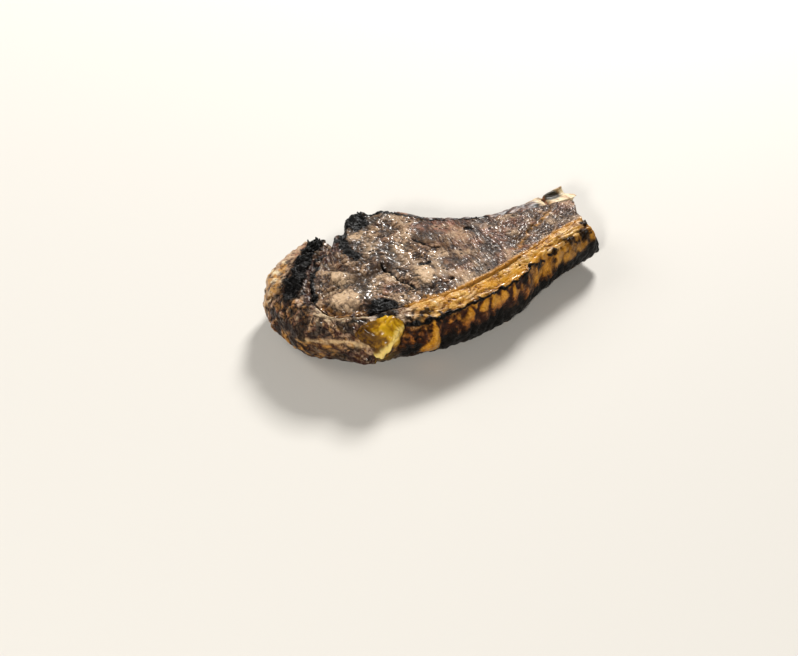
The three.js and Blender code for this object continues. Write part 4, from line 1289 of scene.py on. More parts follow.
@dataclass
class Layer(SteakPiece):
    """A layer that stands against the meat's rim: loops up its inner wall, over the top and down the side."""

    wrap_columns: bool = True
    sections: Array = field(default_factory=lambda: np.zeros((0, 7)))
    loops: int = 200
    top_steps: int = 30
    turns: int = 40
    wall_steps: int = 8
    under_steps: int = 10
    end_rings: int = 14
    foot: float = 0
    gap: float = 0.12
    ahead: float = 0.02  # rim places to the point that gives the rim's heading
    most_rounded: float = 0.7  # share of the width that the shoulder or the undercut may take

    def crown(self, share: Array, x: Array, y: Array) -> Array:
        """Return the top above the meat's top face, which rises from the seam and rolls off outwards."""
        rise = mix(-0.3, 0.6, smooth(0, 0.16, share))
        return rise - 6 * smooth(0.2, 1.1, share) - self.bed(x) + FORM.relief(x, y)

    def swell(self, x: Array, y: Array, z: Array) -> Array:
        """Return how far the outer side moves out: the cap's lobes and the flap below the melted fat."""
        return 1.5 * roughness(x, y, z, 12, 2) + self.flap(x, z)

    @staticmethod
    def flap(x: Array, z: Array) -> Array:
        """Return the bulge of the flap of meat below the melted fat."""
        return 9 * bell((x + 76) / 8) * bell((z - 8) / 6)

    @staticmethod
    def bed(x: Array) -> Array:
        """Return the dip of the layers below the melted fat."""
        return 1.5 * bell((x + 62) / 14)

    def section_rows(self) -> Array:
        """Return the spline rows of the loops: rim place, outer point and edge sizes."""
        return spline_at(self.sections, np.linspace(0, len(self.sections) - 1, self.loops + 1), False)

    def side_loops(self) -> tuple[Array, Array]:
        """Loops of the layer, each from the foot of the inner wall up, over the top and round the side.

        Returns:
            Points, (loops, columns, 3), and the distance over the top from the inner corner.
        """
        rows = self.section_rows()
        rim, ahead = FORM.rim(rows[:, 0]), FORM.rim(rows[:, 0] + self.ahead)
        tangent = ahead[:, :2] - rim[:, :2]
        tangent /= np.linalg.norm(tangent, axis=1, keepdims=True)
        ix, iy = rim[:, 0] + tangent[:, 1] * self.gap, rim[:, 1] - tangent[:, 0] * self.gap
        width = np.hypot(rows[:, 1] - ix, rows[:, 2] - iy)
        ox, oy = ((rows[:, 1] - ix) / width)[:, None], ((rows[:, 2] - iy) / width)[:, None]
        sizes = rows[:, 3:].copy()
        for size in (0, 2):
            sizes[:, size] = np.minimum(sizes[:, size], self.most_rounded * width)
        width = width[:, None]

        def at(reach: Array) -> tuple[Array, Array]:
            """Return the plan position at a reach from the inner wall."""
            return ix[:, None] + ox * reach, iy[:, None] + oy * reach

        def top(reach: Array) -> Array:
            """Return the height of the top at a reach."""
            x, y = at(reach)
            shape, flat = x.shape, (x.ravel(), y.ravel())
            share = (reach / width * np.ones(shape)).ravel()
            return (FORM.top_face(*flat) + self.crown(share, *flat)).reshape(shape)

        def under(reach: Array) -> Array:
            """Return the height of the underside at a reach."""
            return FORM.lift(*at(reach)) + self.foot

        belly = EdgeKind.JOINT.value.belly
        zero = np.zeros_like(width)
        low = under(zero)
        knots = np.concatenate([low, mix(belly, low, FORM.wall_knee), zero + belly, top(zero)], 1)
        climb = np.linspace(0, 3, self.wall_steps, endpoint=False)
        leg = np.minimum(climb.astype(int), 2)
        wall_z = mix(knots[:, leg], knots[:, leg + 1], climb - leg)
        wall = np.stack([*(v + zero * wall_z for v in at(zero)), wall_z], axis=-1)
        reach = (width - sizes[:, :1]) * np.linspace(0, 1, self.top_steps + 1)
        crown = np.stack([*at(reach), top(reach)], axis=-1)
        turn = np.pi * np.arange(1, self.turns + 1) / self.turns
        start, end = width - sizes[:, :1], width - sizes[:, 2:3]
        inset, height = FORM.edge(turn, sizes, top(start)[:, 0], under(end)[:, 0])
        x, y = at(width - inset)
        out = np.sin(turn) * self.swell(x, y, height)
        side = np.stack([x + ox * out, y + oy * out, height], axis=-1)
        reach = end * (1 - np.arange(1, self.under_steps + 1) / (self.under_steps + 1))
        below = np.stack([*at(reach), under(reach)], axis=-1)
        points = FORM.shape_foot(np.concatenate([wall, crown, side, below], axis=1))
        step = np.linalg.norm(np.diff(points, axis=1), axis=2)
        over = np.concatenate([np.zeros((len(points), 1)), np.cumsum(step, axis=1)], axis=1)
        return points, over - over[:, self.wall_steps : self.wall_steps + 1]

    def grid(self) -> Grid:
        """Return the loops with both ends closed by rings that shrink to their middle."""
        return self.closed(*self.side_loops())

    def closed(self, points: Array, over: Array) -> Grid:
        """Close both ends of a run of loops with rings drawn in to the middle of the end loop.

        Args:
            points: Loops, (loops, columns, 3).
            over: Distance over the top at each point.

        Returns:
            The longer grid of points, distances over the top and distances along the piece.
        """
        share = np.linspace(0, 1, self.end_rings, endpoint=False)[:, None, None]
        first = mix(points[0].mean(0), points[0], share)
        last = mix(points[-1].mean(0), points[-1], share)[::-1]
        step = np.linalg.norm(np.diff(points, axis=0), axis=2).mean(1)
        along = np.concatenate([[0], np.cumsum(step)])[:, None] * np.ones(points.shape[1])
        ends = np.ones((self.end_rings, 1))
        return (
            np.concatenate([first, points, last]),
            np.concatenate([ends * over[0], over, ends * over[-1]]),
            np.concatenate([ends * along[0], along, ends * along[-1]]),
        )


@dataclass
class Cap(Layer):
    """The cap muscle round the head: a burnt band on top, a browned rim and a fatty foot."""

    name: str = "cap_muscle"
    node: str = "cap"
    slot: str = "cap"
    finish: Any = field(default_factory=SearedBeef)
    loops: int = 300
    top_steps: int = 44
    turns: int = 56
    nose_rings: int = 12
    end_rounding: float = 4
    sections: Array = field(default_factory=lambda: edge_rows([
        (EdgeKind.CHINE, [(0.75, -76.5, 49.5)]),
        (EdgeKind.HEAD, [
            (1.1, -87.5, 50), (1.6, -97, 45), (2.4, -109.5, 33.5), (3.4, -119.5, 20), (4.5, -124, 5),
            (5.6, -122, -10), (6.7, -117.5, -24),
        ]),
        (EdgeKind.FRONT, [(7.6, -111.5, -36.5), (8.4, -102, -46.5), (9.2, -90.5, -53), (10, -80.5, -59)]),
        (EdgeKind.DRAPE, [(11.115, -68.45, -66.47)]),
    ]))

    def grid(self) -> Grid:
        """Return the loops with a rounded nose at the notch."""
        points, over = self.side_loops()
        heading = points[0, 0, :2] - points[1, 0, :2]
        heading = np.append(heading / np.linalg.norm(heading), 0)
        turn = (np.arange(self.nose_rings, 0, -1) / (self.nose_rings + 0.4) * np.pi / 2)[:, None, None]
        nose = mix(points[0].mean(0), points[0], np.sqrt(np.cos(turn)))
        nose = nose + self.end_rounding * np.sin(turn) * heading
        ends = np.ones((self.nose_rings, 1))
        return self.closed(np.concatenate([nose, points]), np.concatenate([ends * over[0], over]))

    @staticmethod
    def burns(skin: Skin, x: Array, y: Array, face: Array) -> Array:
        """Return the share of char: the burnt band on top, the seam, two patches, and the foot as painted
        shade.
        """
        p, z = skin.place, skin.place[:, 2]
        return combine(
            near_line(BURNT_BAND, x, y, 5.4, 8) * smooth(20, 28, z),
            0.9 * spot(x, y, (-110, -42), (4, 4)) * smooth(14, 22, z),
            0.95 * near_line(HEAD_SEAM, x, y, 0.8, 3) * face,
            0.8 * spot(x, y, (-98, -33), (6, 8)) * smooth(-0.1, 0.3, noise(p, 7)) * face,
            # Painted shade: the wall is near-black near the floor, less so on the underside.
            smooth(7, 1, z + 3 * noise(p, 9)) * mix(1, 0.3, smooth(-0.4, -0.8, skin.normal[:, 2])),
        )

    @staticmethod
    def front_fat(p: Array, x: Array, y: Array) -> tuple[Array, Array]:
        """Return the shares of the fatty foot and of the thin line of fat along the front."""
        z = p[:, 2]
        foot = smooth(21.5, 19.5, z + 1.2 * noise(p, 8)) * smooth(-8, -28, y) * smooth(3, 7, z)
        drift = z - 22 - 0.05 * (x + 95) - 1.6 * noise(p + 11, 9)
        drawn = np.stack([p[:, 0] / 3, p[:, 1] / 3, z], axis=1)
        line = bell(drift / mix(1.5, 3.3, blots(drawn, 4, -0.4, 0.4, 33))) * smooth(-24, -38, y)
        return foot * smooth(-82, -90, x), line * blots(drawn, 2.6, -0.9, -0.4, 21)

    @staticmethod
    def rims(p: Array, x: Array, y: Array) -> tuple[Array, Array, Array]:
        """Return the shares of the pale rim at the back, the golden one and the dark one in front."""
        z = p[:, 2]
        top = near_line(TOP_RIM, x, y, 8, 12) * smooth(20, 31, z + 5 * noise(p, 12))
        gold = near_line(GOLD_RIM, x, y, 6, 10) * smooth(16, 25, z) * (1 - top)
        return top, gold, near_line(DARK_RIM, x, y, 8, 15) * (1 - gold)

    def dress(self, skin: Skin) -> Dressing:
        """Return the wrinkled lobes with the fold, the line of fat and the char, and the finish shares."""
        p, z = skin.place, skin.place[:, 2]
        x, y = ragged(skin, 3.2, 1.4)
        face = smooth(0.2, 0.6, skin.normal[:, 2])
        char = self.burns(skin, x, y, face)
        foot_fat, fat_line = self.front_fat(p, x, y)
        top_rim, gold_rim, dark_rim = self.rims(p, x, y)
        light_rim = combine(top_rim, gold_rim)
        lobes = creases(GRAIN.shift(p, 9, 4) * (1, 1, 0.55), 8)
        front = smooth(-26, -40, y)
        curls = mix(wrinkled(p), 1.5 * fibrous(p, -36, 3.4), 0.75 * front)
        relief = curls + mix(1.2, 0.6, front) * (lobes - 0.5)
        fold = line_field(FOLD, p[:, 0], p[:, 1])[0]
        lip = bell((fold - 0.6) / 1.1) * face * blots(p, 5, -0.7, -0.3, 3)
        smoothed = combine(0.5 * foot_fat, 0.7 * lip, 0.7 * fat_line)
        height = relief * (1 - smoothed) + 0.7 * lip + 0.5 * fat_line - 0.5
        height = mix(height, 1.5 * charred(p), char * face)
        # The hollow under the fatty foot is painted dark as shade.
        hollow = bell((x + 87) / 7) * smooth(18, 12, z) * smooth(-20, -40, y)
        flap = smooth(-88, -82, x) * smooth(19, 15, z + noise(p, 6)) * smooth(-40, -52, y)
        # A painted highlight in cream runs along the rim's shoulder, where its normal turns from the top to
        # the side.
        edge_highlight = near_line(HIGHLIGHT_RIM, x, y, 6, 9) * blots(p, 4, -0.6, -0.1, 2)
        edge_highlight = edge_highlight * bell((skin.normal[:, 2] - 0.55) / 0.16)
        back = smooth(20, 34, y) * (1 - face)
        # The level follows the curls and lobes, so their creases are painted dark as shade and the ridges
        # light; the front is painted darker as shade.
        level = 0.47 - 0.2 * front + mix(0.65, 1.0, front) * curls + mix(0.55, 0.4, front) * (lobes - 0.5)
        level = np.clip(level + 0.2 * noise(p + 50, 12, 2), 0, 1)
        for tone, share in (
            (0.74 + 0.9 * curls + 0.6 * (lobes - 0.5), 0.85 * light_rim),
            (0.74 + 0.35 * curls, smoothed),
            (0.95 + 0.3 * curls, 0.85 * fat_line),
            (0.04 + 1.5 * curls + 0.8 * (lobes - 0.5), 0.85 * dark_rim),
        ):
            level = mix(level, tone, share)
        # The hollow is painted darker as shade, and the walls at the back are darker.
        level = mix(level, 0.5 * level, combine(0.9 * hollow, 0.5 * back))
        over_front = smooth(-30, -42, y)
        shares = {
            "level": mix(level, burnt_level(p, 0.38, 0.42), char),
            "char": combine(
                # The hollow is painted near-black as shade, and so are the dark rim's creases.
                char, 0.8 * dark_rim * smooth(0.5, 0.2, lobes), 0.9 * hollow,
                0.8 * blots(p, 8, 0.15, 0.4, 27) * (1 - light_rim) * (1 - smoothed),
            ),
            "pale": combine(
                0.65 * top_rim * blots(p, 7, -0.45, 0.2), 0.6 * gold_rim * lobes,
                0.5 * blots(p, 4.5, 0, 0.35, 15) * (1 - dark_rim), 0.9 * self.stripes(p),
                0.55 * over_front * smooth(22, 26, z) * blots(p, 5, -0.3, 0.2, 6),
            ),
            "cream": combine(
                0.7 * lip, 0.95 * fat_line, 0.9 * gold_rim * blots(p, 6, -0.05, 0.25, 8), 0.8 * edge_highlight,
                0.5 * face * smooth(-16, -30, y) * blots(p, 3, 0.25, 0.5, 2),
                0.8 * foot_fat * blots(p, 6, -0.05, 0.35, 44),
                0.8 * spot(x, y, (-110, -38), (6, 6)) * bell((z - 17) / 3),
            ),
            "ashen": 0.3 * top_rim * blots(p, 9, 0.1, 0.4),
            "rosy": combine(
                0.95 * top_rim, 0.9 * combine(gold_rim, dark_rim) * blots(p, 6, 0, 0.3, 61),
                0.7 * over_front * smooth(22, 27, z), 0.5 * flap, 0.2 + 0.25 * front,
            ),
            # The creases between the wall's lobes are painted dark red as shade; the blots are the meat's own
            # colour.
            "blood": combine(
                0.8 * (1 - face) * smooth(0.75, 0.25, lobes), 0.6 * blots(p, 6, 0.1, 0.4, 9) * (1 - face),
                0.7 * face * near_line(HEAD_SEAM, x, y, 4, 9),
            ) * (1 - light_rim),
            "amber": combine(
                0.75 * combine(gold_rim, 0.6 * dark_rim) * blots(p, 5, -0.2, 0.2, 12), 0.5 * fat_line,
                0.85 * foot_fat * smooth(0, 0.3, lobes),
                mix(0.3, 0.6, front) * blots(p, 4.5, 0.1, 0.45, 5) * (1 - top_rim) * (1 - face),
            ),
            "calm": combine(0.6 * char, 0.6 * lip, 0.4 * light_rim, 0.6 * fat_line),
            "grease": 0.95 * (1 - char) * (1 - 0.35 * dark_rim),
            "fibre": 0 * z,
        }
        return Dressing(height, shares)

    @staticmethod
    def stripes(p: Array) -> Array:
        """Return the pale muscle stripes on the flap below the melted fat."""
        x, y, z = p.T
        wave = np.sin(1.3 * (x + 0.7 * z) + 2.2 * noise(p, 7))
        return bell((x + 76) / 10) * bell((z - 11) / 7) * smooth(-40, -52, y) * smooth(-0.1, 0.8, wave)


@dataclass
class FatBand(Layer):
    """The band of fat along the front: a gutter, a ridged golden top, a charred edge and a lobed side."""

    name: str = "fat_edge"
    node: str = "fat_band"
    slot: str = "fat"
    finish: Any = field(default_factory=RoastedFat)
    loops: int = 256
    top_steps: int = 36
    turns: int = 56
    sections: Array = field(default_factory=lambda: edge_rows([
        (EdgeKind.DRAPE, [(11.12, -68.4, -66.5), (11.9, -58, -69.5), (12.9, -44, -70)]),
        (EdgeKind.FAT, [
            (14, -27, -69), (15, -9, -65.5), (16, 10, -60.5), (17, 29.5, -54.5), (17.9, 43, -49),
            (18.4, 54, -40.5), (19.1, 67, -32.5), (20, 84, -26.5),
        ]),
        (EdgeKind.TAIL, [(20.9, 98.5, -20.5), (21.85, 112, -14)]),
    ]))

    def crown(self, share: Array, x: Array, y: Array) -> Array:
        """Return a top that leads on from the cap's, rises from the gutter and rolls off outwards."""
        gutter = 1.7 * smooth(-6, 6, x) * smooth(48, 40, x)
        rise = mix(-0.2 - gutter, 0, smooth(0, 0.22, share))
        own = rise - 4.5 * smooth(0.2, 1, share) - self.bed(x) + 0.7 * roughness(x, y, 5, 8, 2)
        return mix(super().crown(share, x, y), own, self.own_form(x))

    def swell(self, x: Array, y: Array, z: Array) -> Array:
        """Return a side that leads on from the cap's, with upright lobes and the yellow wedge."""
        wedge = 2.2 * bell((x + 33) / 5) * bell((z - 16) / 10)
        own = 1.3 * roughness(x, y, 0.4 * z, 7, 2) + wedge + self.flap(x, z)
        return mix(super().swell(x, y, z), own, self.own_form(x))

    @staticmethod
    def own_form(x: Array) -> Array:
        """Return how far the band has taken its form over from the cap."""
        return smooth(-68, -54, x)

    @staticmethod
    def edge_char(skin: Skin, x: Array, y: Array) -> Array:
        """Return the charred line, which lies below the outer edge and climbs onto it towards the tail."""
        p, z = skin.place, skin.place[:, 2]
        torn = smooth(-0.25, 0.05, noise(p, 9, 2) + 0.7 * smooth(50, 38, x))
        on_edge = near_line(TAIL_EDGE, x, y, 0.5, 1.5) * smooth(24, 30, z) * torn
        below = np.abs(z - 34 - 1.2 * noise(p, 5, 2)) / mix(0.9, 1.5, smooth(-5, -30, x))
        below = (1 - smooth(0.7, 1.3, below)) * smooth(-52, -47, x) * smooth(3, 5, skin.over)
        return mix(below, on_edge, smooth(38, 44, x))

    @staticmethod
    def side_shade_and_char(skin: Skin, x: Array, side: Array) -> Array:
        """Return the side's dark: a jagged foot of painted shade, near-black, and char specks above it
        towards the head.
        """
        p, z = skin.place, skin.place[:, 2]
        jag = mix(20, 14.5, smooth(36, 58, x)) + 5.5 * noise(p, 7, 2) + FORM.lift(p[:, 0], p[:, 1])
        under = smooth(-0.4, -0.8, skin.normal[:, 2])
        # The foot is painted shade, near-black low on the side and less so on the underside.
        foot = smooth(3, -3, z - jag) * side * smooth(-70, -50, x) * (1 - 0.6 * under)
        specks = side * smooth(-54, -48, x) * smooth(0, -14, x) * blots(p, 3.6, 0.05, 0.25, 4)
        return combine(foot, 0.9 * specks)

    def dress(self, skin: Skin) -> Dressing:
        """Return lengthwise ridges on top, upright lobes down the side and char, and the finish shares."""
        p, z = skin.place, skin.place[:, 2]
        x, y = ragged(skin, 1.6, 0.9)
        top = smooth(0.25, 0.7, skin.normal[:, 2]) * smooth(18, 26, z)
        side = 1 - top
        wave = 1.6 * noise(p, 14, 2)
        strip = np.stack([skin.along / 6, skin.over + wave, 0 * z], axis=1)
        ridges = creased(strip, (2.2, 1.2), (0.6, 0.3), 30)
        lobe = np.stack([skin.along + 1.4 * noise(p, 6), 0 * z, z / 2.2], axis=1)
        lobes = creases(lobe, 7.5) - 0.45
        grit = wrinkled(p)
        char_edge = self.edge_char(skin, x, y)
        pits = pitted(p, 5.0, 0.3) * top
        tail_spots = patches(x, y, TAIL_CHAR_PATCHES)
        soot = spot(x, y, (-38, -62), (11, 5), 10) * blots(p, 4, -0.2, 0.1)
        soot = combine(soot, spot(x, y, (-57, -56), (9, 4.5), 4))
        wedge = np.abs(x + 31 - 0.1 * (z - 20)) / mix(1.4, 8.5, smooth(34, 8, z))
        wedge = (1 - smooth(0.75, 1.0, wedge)) * smooth(5, 8, z) * smooth(34.5, 33, z) * side
        # The pits are painted dark as shade in them.
        char = combine(char_edge, 0.9 * tail_spots, 0.9 * soot, self.side_shade_and_char(skin, x, side), 0.7 * pits)
        char = char * (1 - wedge)
        gold_side = side * smooth(42, 54, x)
        clear_lobes = 0.7 * side * smooth(-22, -12, x) * smooth(44, 38, x) * smooth(23, 28, z)
        clear = combine(
            patches(x, y, CLEAR_PATCHES), wedge, clear_lobes * smooth(0.25, 0.5, lobes + 0.45),
            0.7 * gold_side * smooth(15, 22, z + 4 * noise(p, 12)),
        )
        dark_side = side * smooth(56, 42, x) * smooth(-54, -46, x)
        # The gutter along the seam is painted darker as shade.
        gutter = bell((skin.over - 1.2) / 1.5) * smooth(-6, 4, x) * smooth(50, 42, x)
        height = mix(0.4 * grit + 1.3 * lobes, 0.7 * ridges + 0.3 * grit, top) - 0.7 * pits + 0.6 * wedge
        height = mix(height, 0.9 * charred(p) + 0.5, combine(char_edge, tail_spots, soot) * 0.8)
        height = mix(height, 0.4 * height, 0.6 * clear)
        # The level follows the lobes and ridges, so their creases are painted darker as shade.
        level = mix(0.45 + 0.75 * lobes + 0.35 * grit, 0.6 + 0.6 * ridges + 0.3 * grit, top) - 0.1 * gutter
        level += 0.2 * top * noise(p + 61, 10, 2)
        level = mix(level, 0.6 + 0.3 * (level - 0.5), 0.7 * clear)
        # The side is painted darker towards its bottom as shade.
        level = np.clip(level, 0, 1) * mix(1, smooth(10, 29, z), 0.75 * dark_side * (1 - wedge))
        level = level * (1 - 0.4 * side * smooth(-33, -40, x) * smooth(-60, -52, x) * (1 - wedge))
        drape = smooth(-50, -58, x) * side
        shares = {
            "level": mix(level, burnt_level(p, 0.38, 0.42), char),
            "char": char,
            "side": side * (1 - 0.8 * drape),
            "clear": clear * (1 - char),
            "wet": combine(0.8 * clear, 0.28 * top, 0.6 * side) * (1 - char),
            "olive": combine(drape * smooth(20, 14, z), 0.3 * gold_side * smooth(60, 90, x), 0.5 * gutter),
            "beef": combine(
                smooth(-52, -60, x) * smooth(19, 22, z + noise(p, 6)), 0.8 * top * smooth(-32, -46, x),
                0.3 * top * blots(p, 8, 0.1, 0.5, 3),
            ),
            # The creases between the side's lobes and the gutter are painted rust-dark as shade; the blots on
            # top are the fat's own colour.
            "rust": combine(
                0.8 * dark_side * smooth(0.5, 0.1, lobes + 0.45), 0.5 * gutter,
                0.3 * top * blots(p, 7, 0.15, 0.4),
            ) * (1 - wedge),
        }
        return Dressing(height, shares)


@dataclass
class Rib(Layer):
    """The rib: a flat bar on edge, sunk beside the meat, bare and splintered at its sawn end."""

    name: str = "rib"
    node: str = "rib_bone"
    slot: str = "bone"
    finish: Any = field(default_factory=BareBone)
    top_steps: int = 26
    foot: float = 2.5
    tip_rings: int = 34
    end_x: float = 114.5
    end_y: Pair = (24, 41)
    slab_reach: float = 4.5
    slab_width: float = 0.22
    far_rise: float = 6.5
    shard: float = 1.6
    groove: Triple = (95.5, 1.8, 1.8)  # the cracked groove's x, depth and width
    sections: Array = field(default_factory=lambda: edge_rows([
        (EdgeKind.RIB, [
            (25, 101, 39.5), (26, 87, 36.3), (27, 72, 31.8), (28, 56, 28.6), (29, 40, 29.2), (30, 23.5, 34),
            (31, 7, 42), (32, -6, 51), (32.6, -12.5, 56.5),
        ]),
    ]))

    def crown(self, share: Array, x: Array, y: Array) -> Array:
        """Return a top that bares towards its end, with a hollow middle, a raised far side and a groove."""
        bare = smooth(72, 104, x) * (1.6 - 1.3 * bell((share - 0.55) / 0.16))
        far_side = self.far_rise * smooth(0.62, 0.95, share) * smooth(90, 114, x)
        groove_x, depth, width = self.groove
        return -1.2 + bare + far_side - depth * bell((x - groove_x) / width)

    def swell(self, x: Array, y: Array, z: Array) -> Array:
        """Return the slight waves of the bar's outer side."""
        return 0.5 * roughness(x, y, z, 10, 1)

    def grid(self) -> Grid:
        """Return the loops with the broken end in front: its near slab stands out and its far side rises."""
        points, over = self.side_loops()
        base = points[0]
        low, high = base[:, 1].min(), base[:, 1].max()
        across = (base[:, 1] - low) / (high - low)
        share = (np.arange(self.tip_rings, 0, -1) / self.tip_rings)[:, None]
        slab = self.slab_reach * bell((across - 0.2) / self.slab_width)
        end = self.end_x + slab + self.shard * roughness(0 * across, base[:, 1], base[:, 2], 5, 2)
        rise = share * 4 * smooth(0.6, 1, across) * smooth(0.5, 0.8, base[:, 2] / FORM.thickness)
        x = mix(base[:, 0], end, share)
        y = mix(base[:, 1], mix(*self.end_y, across), share)
        tip = np.stack([x, y, base[:, 2] + rise], axis=-1)
        ends = np.ones((self.tip_rings, 1))
        return self.closed(np.concatenate([tip, points]), np.concatenate([ends * over[0], over]))

    def dress(self, skin: Skin) -> Dressing:
        """Return bone grain, splinters at the end, the scorched crack and spot, and the sheath further in."""
        p, z = skin.place, skin.place[:, 2]
        x, y = ragged(skin, 1.2, 0.6)
        drawn = np.stack([p[:, 0] / 5, p[:, 1], z], axis=1)
        fibre = creases(GRAIN.shift(drawn, 6, 0.6), 1.8) - CREASE_MEAN
        broken = smooth(108, 114, p[:, 0]) * np.abs(skin.normal[:, 0])
        teeth = broken * (1.6 * noise(np.stack([0 * z, p[:, 1], z], axis=1), 2.4, 2) - 0.8)
        up = skin.normal[:, 2]
        bare = combine(smooth(86, 91, x + 0.25 * (y - 30)) * smooth(0.2, 0.6, up), smooth(104, 108, x))
        strip = smooth(0.1, 0.6, up) * smooth(-8, 2, x)
        far = smooth(0.55, 0.8, (skin.over - 3) / 9)
        crack = near_line(BONE_CRACK, x, y, 0.7, 1.9)
        scorch = spot(x, y, (103.2, 33), (7.5, 6.5))
        sheath = (1 - bare) * mix(1, 0.25, strip * far)
        curls = wrinkled(p * (0.5, 1, 1))
        waves = noise(p * (0.6, 1, 1) + 9, 14, 2)
        height = mix(0.9 * curls + 0.8 * waves, 0.35 * fibre, bare) + teeth - 0.6 * crack - 0.3 * scorch
        shares = {
            # The level follows the curls and waves, so their creases are painted darker as shade.
            "level": np.clip(mix(0.45 + 0.5 * curls + 0.4 * waves, 0.8 + 0.6 * fibre, bare), 0, 1),
            "tan": combine(
                strip * far * (1 - bare), 0.8 * bare * near_line(BONE_TAN, x, y, 1.2, 3.2),
                0.8 * bare * blots(p, 5, 0, 0.35),
            ),
            "sheath": sheath,
            "rust": combine(
                0.9 * crack * smooth(20, 30, z), 0.6 * bare * near_line(BONE_RUST, x, y, 0.4, 1.4),
            ),
            # Painted shade: the bone is near-black at its base by the floor; the rest is scorch and char.
            "char": combine(
                0.95 * scorch, 0.8 * spot(x, y, (95, 39.5), (6, 1.6), 15),
                0.6 * crack * smooth(0, 0.3, noise(p, 2)), 0.9 * sheath * blots(p, 11, 0.2, 0.5),
                0.7 * smooth(5, 1, z), 0.5 * bare * blots(p, 4, 0.3, 0.5, 9),
                0.9 * smooth(-28, -40, x + 4 * noise(p, 7)),
            ),
        }
        return Dressing(height, shares)


@dataclass
class FatLump(SteakPiece):
    """The lump of melted fat laid over the band's shoulder, with a drip running down across it."""

    name: str = "melted_lump"
    node: str = "fat_lump"
    slot: str = "soft_fat"
    finish: Any = field(default_factory=SoftFat)
    wrap_rows: bool = True
    layers: tuple[Layer, Layer] = field(default_factory=lambda: (Cap(), FatBand()))
    spans: tuple[Pair, Pair] = ((0.66, 1), (0, 0.4))  # stretches of their loops that it can lie on
    middle_x: float = -63.12
    down: float = 13.5
    radii: tuple = (14.5, 13.5, 18, 12, 15.5, 10, 8, 11)  # an eighth of a turn apart, from the tail side
    thickness: float = 4.6
    lift: float = 0.9
    spokes: int = 170
    rings: int = 52
    probe: float = 1.5  # step along the layers from which the normal is taken
    depth_step: float = 0.125
    deepest: float = 70

    @cached_property
    def draped(self) -> tuple[Array, Array]:
        """Surface that the lump lies on: points by loop and depth, and distances along its inner corner."""
        depths = np.linspace(0, self.deepest, int(self.deepest / self.depth_step) + 1)
        rows, corners = [], []
        for layer, (first, last) in zip(self.layers, self.spans):
            points, over = layer.side_loops()
            pick = slice(int(first * layer.loops), int(last * layer.loops) + 1)
            for reach, loop in zip(over[pick], points[pick]):
                rows.append([np.interp(depths, reach, loop[:, axis]) for axis in range(3)])
            corners.append(points[pick, layer.wall_steps])
        corner = np.concatenate(corners)
        length = np.concatenate([[0], np.cumsum(np.linalg.norm(np.diff(corner, axis=0), axis=1))])
        return np.stack(rows), length - np.interp(self.middle_x, corner[:, 0], length)

    def over_band(self, along: Array, down: Array) -> Array:
        """Points on the draped surface: a distance along its inner corner and another over its top.

        Args:
            along: Distance from the lump's middle towards the tail.
            down: Distance over the layers from their inner corner.

        Returns:
            Points in plan millimetres, with one more axis than along.
        """
        table, length = self.draped
        place = np.clip(np.interp(along, length, np.arange(len(length))), 0, len(length) - 1.001)
        low, share = np.floor(place).astype(int), place % 1
        column = np.clip(down, 0.4, self.deepest - 1) / self.depth_step
        left, part = np.floor(column).astype(int), column % 1

        def pick(row: Array) -> Array:
            """Return the table's points in a row, blended along it."""
            return mix(table[row, :, left], table[row, :, left + 1], part[..., None])

        return mix(pick(low), pick(np.minimum(low + 1, len(table) - 1)), share[..., None])

    def grid(self) -> Grid:
        """Return the lump as spokes that run out over its top, round its rim and back below."""
        angle = 2 * np.pi * np.arange(self.spokes) / self.spokes
        radii = np.array(self.radii, float)[:, None]
        radius = spline_at(radii, angle / (2 * np.pi) * len(radii), True)[:, 0]
        circle = np.stack([9 * np.cos(angle), 9 * np.sin(angle), 0 * angle], 1)
        radius = radius * (1 + 0.07 * noise(circle, 3.5, 2))
        share = np.sin(np.linspace(0, np.pi / 2, self.rings + 1))
        along = radius[:, None] * share * np.cos(angle)[:, None]
        down = radius[:, None] * share * np.sin(angle)[:, None]
        here = self.over_band(along, self.down + down)
        onward = self.over_band(along + self.probe, self.down + down)
        below = self.over_band(along, self.down + down + self.probe)
        normal = np.cross(below - here, onward - here)
        normal /= np.linalg.norm(normal, axis=2, keepdims=True)
        dome = self.thickness * np.sqrt(np.maximum(0, 1 - share**2))
        dome = dome * (1 + 0.25 * lattice_noise(along / 6, down / 6, 4))
        drip = 1.8 * bell((along - 9 + 0.62 * (down + 6)) / 3) * (1 - share**4)
        rim = 0.25 + self.lift * smooth(1, 0.8, share)
        upper = here + normal * (rim + dome + drip)[..., None]
        lower = (here - normal * 0.3)[:, ::-1]
        points = np.concatenate([upper, lower], axis=1)
        points[:, 0], points[:, -1] = points[:, 0].mean(0), points[:, -1].mean(0)
        twice = np.concatenate([down, down[:, ::-1]], axis=1)
        return points, twice, np.concatenate([along, along[:, ::-1]], axis=1)

    def dress(self, skin: Skin) -> Dressing:
        """Return soft folds with the beaded drip, which is cream, and a browned rim at the head side."""
        p = skin.place
        along, down = skin.along, skin.over
        radius = np.hypot(along, down)
        folds = creases(GRAIN.shift(p, 9, 3), 6.5) - 0.4
        small = noise(p, 2.6, 2)
        drip = bell((along - 10.6 + 1.15 * down) / 4.2) * smooth(-3, 1, down)
        beads = drip * (0.35 + 0.65 * creases(p + 13, 3.6))
        height = mix(0.6 * folds + 0.15 * small, 0.2 * folds, drip) + 1.9 * beads
        left = smooth(0, -12, along - 0.4 * down + 4 * small)
        bright = spot(along, down, (7, -4), (10, 9))
        shares = {
            # The level follows the folds, so their creases are painted darker as shade.
            "level": 0.35 + 0.5 * folds + 0.15 * small + 0.45 * bright + 0.5 * drip - 0.5 * left,
            "cream": 0.95 * drip * smooth(0.1, 0.5, beads),
            "browned": combine(left, smooth(9.5, 13, radius + 2.5 * small)) * (1 - drip),
        }
        return Dressing(height, shares)


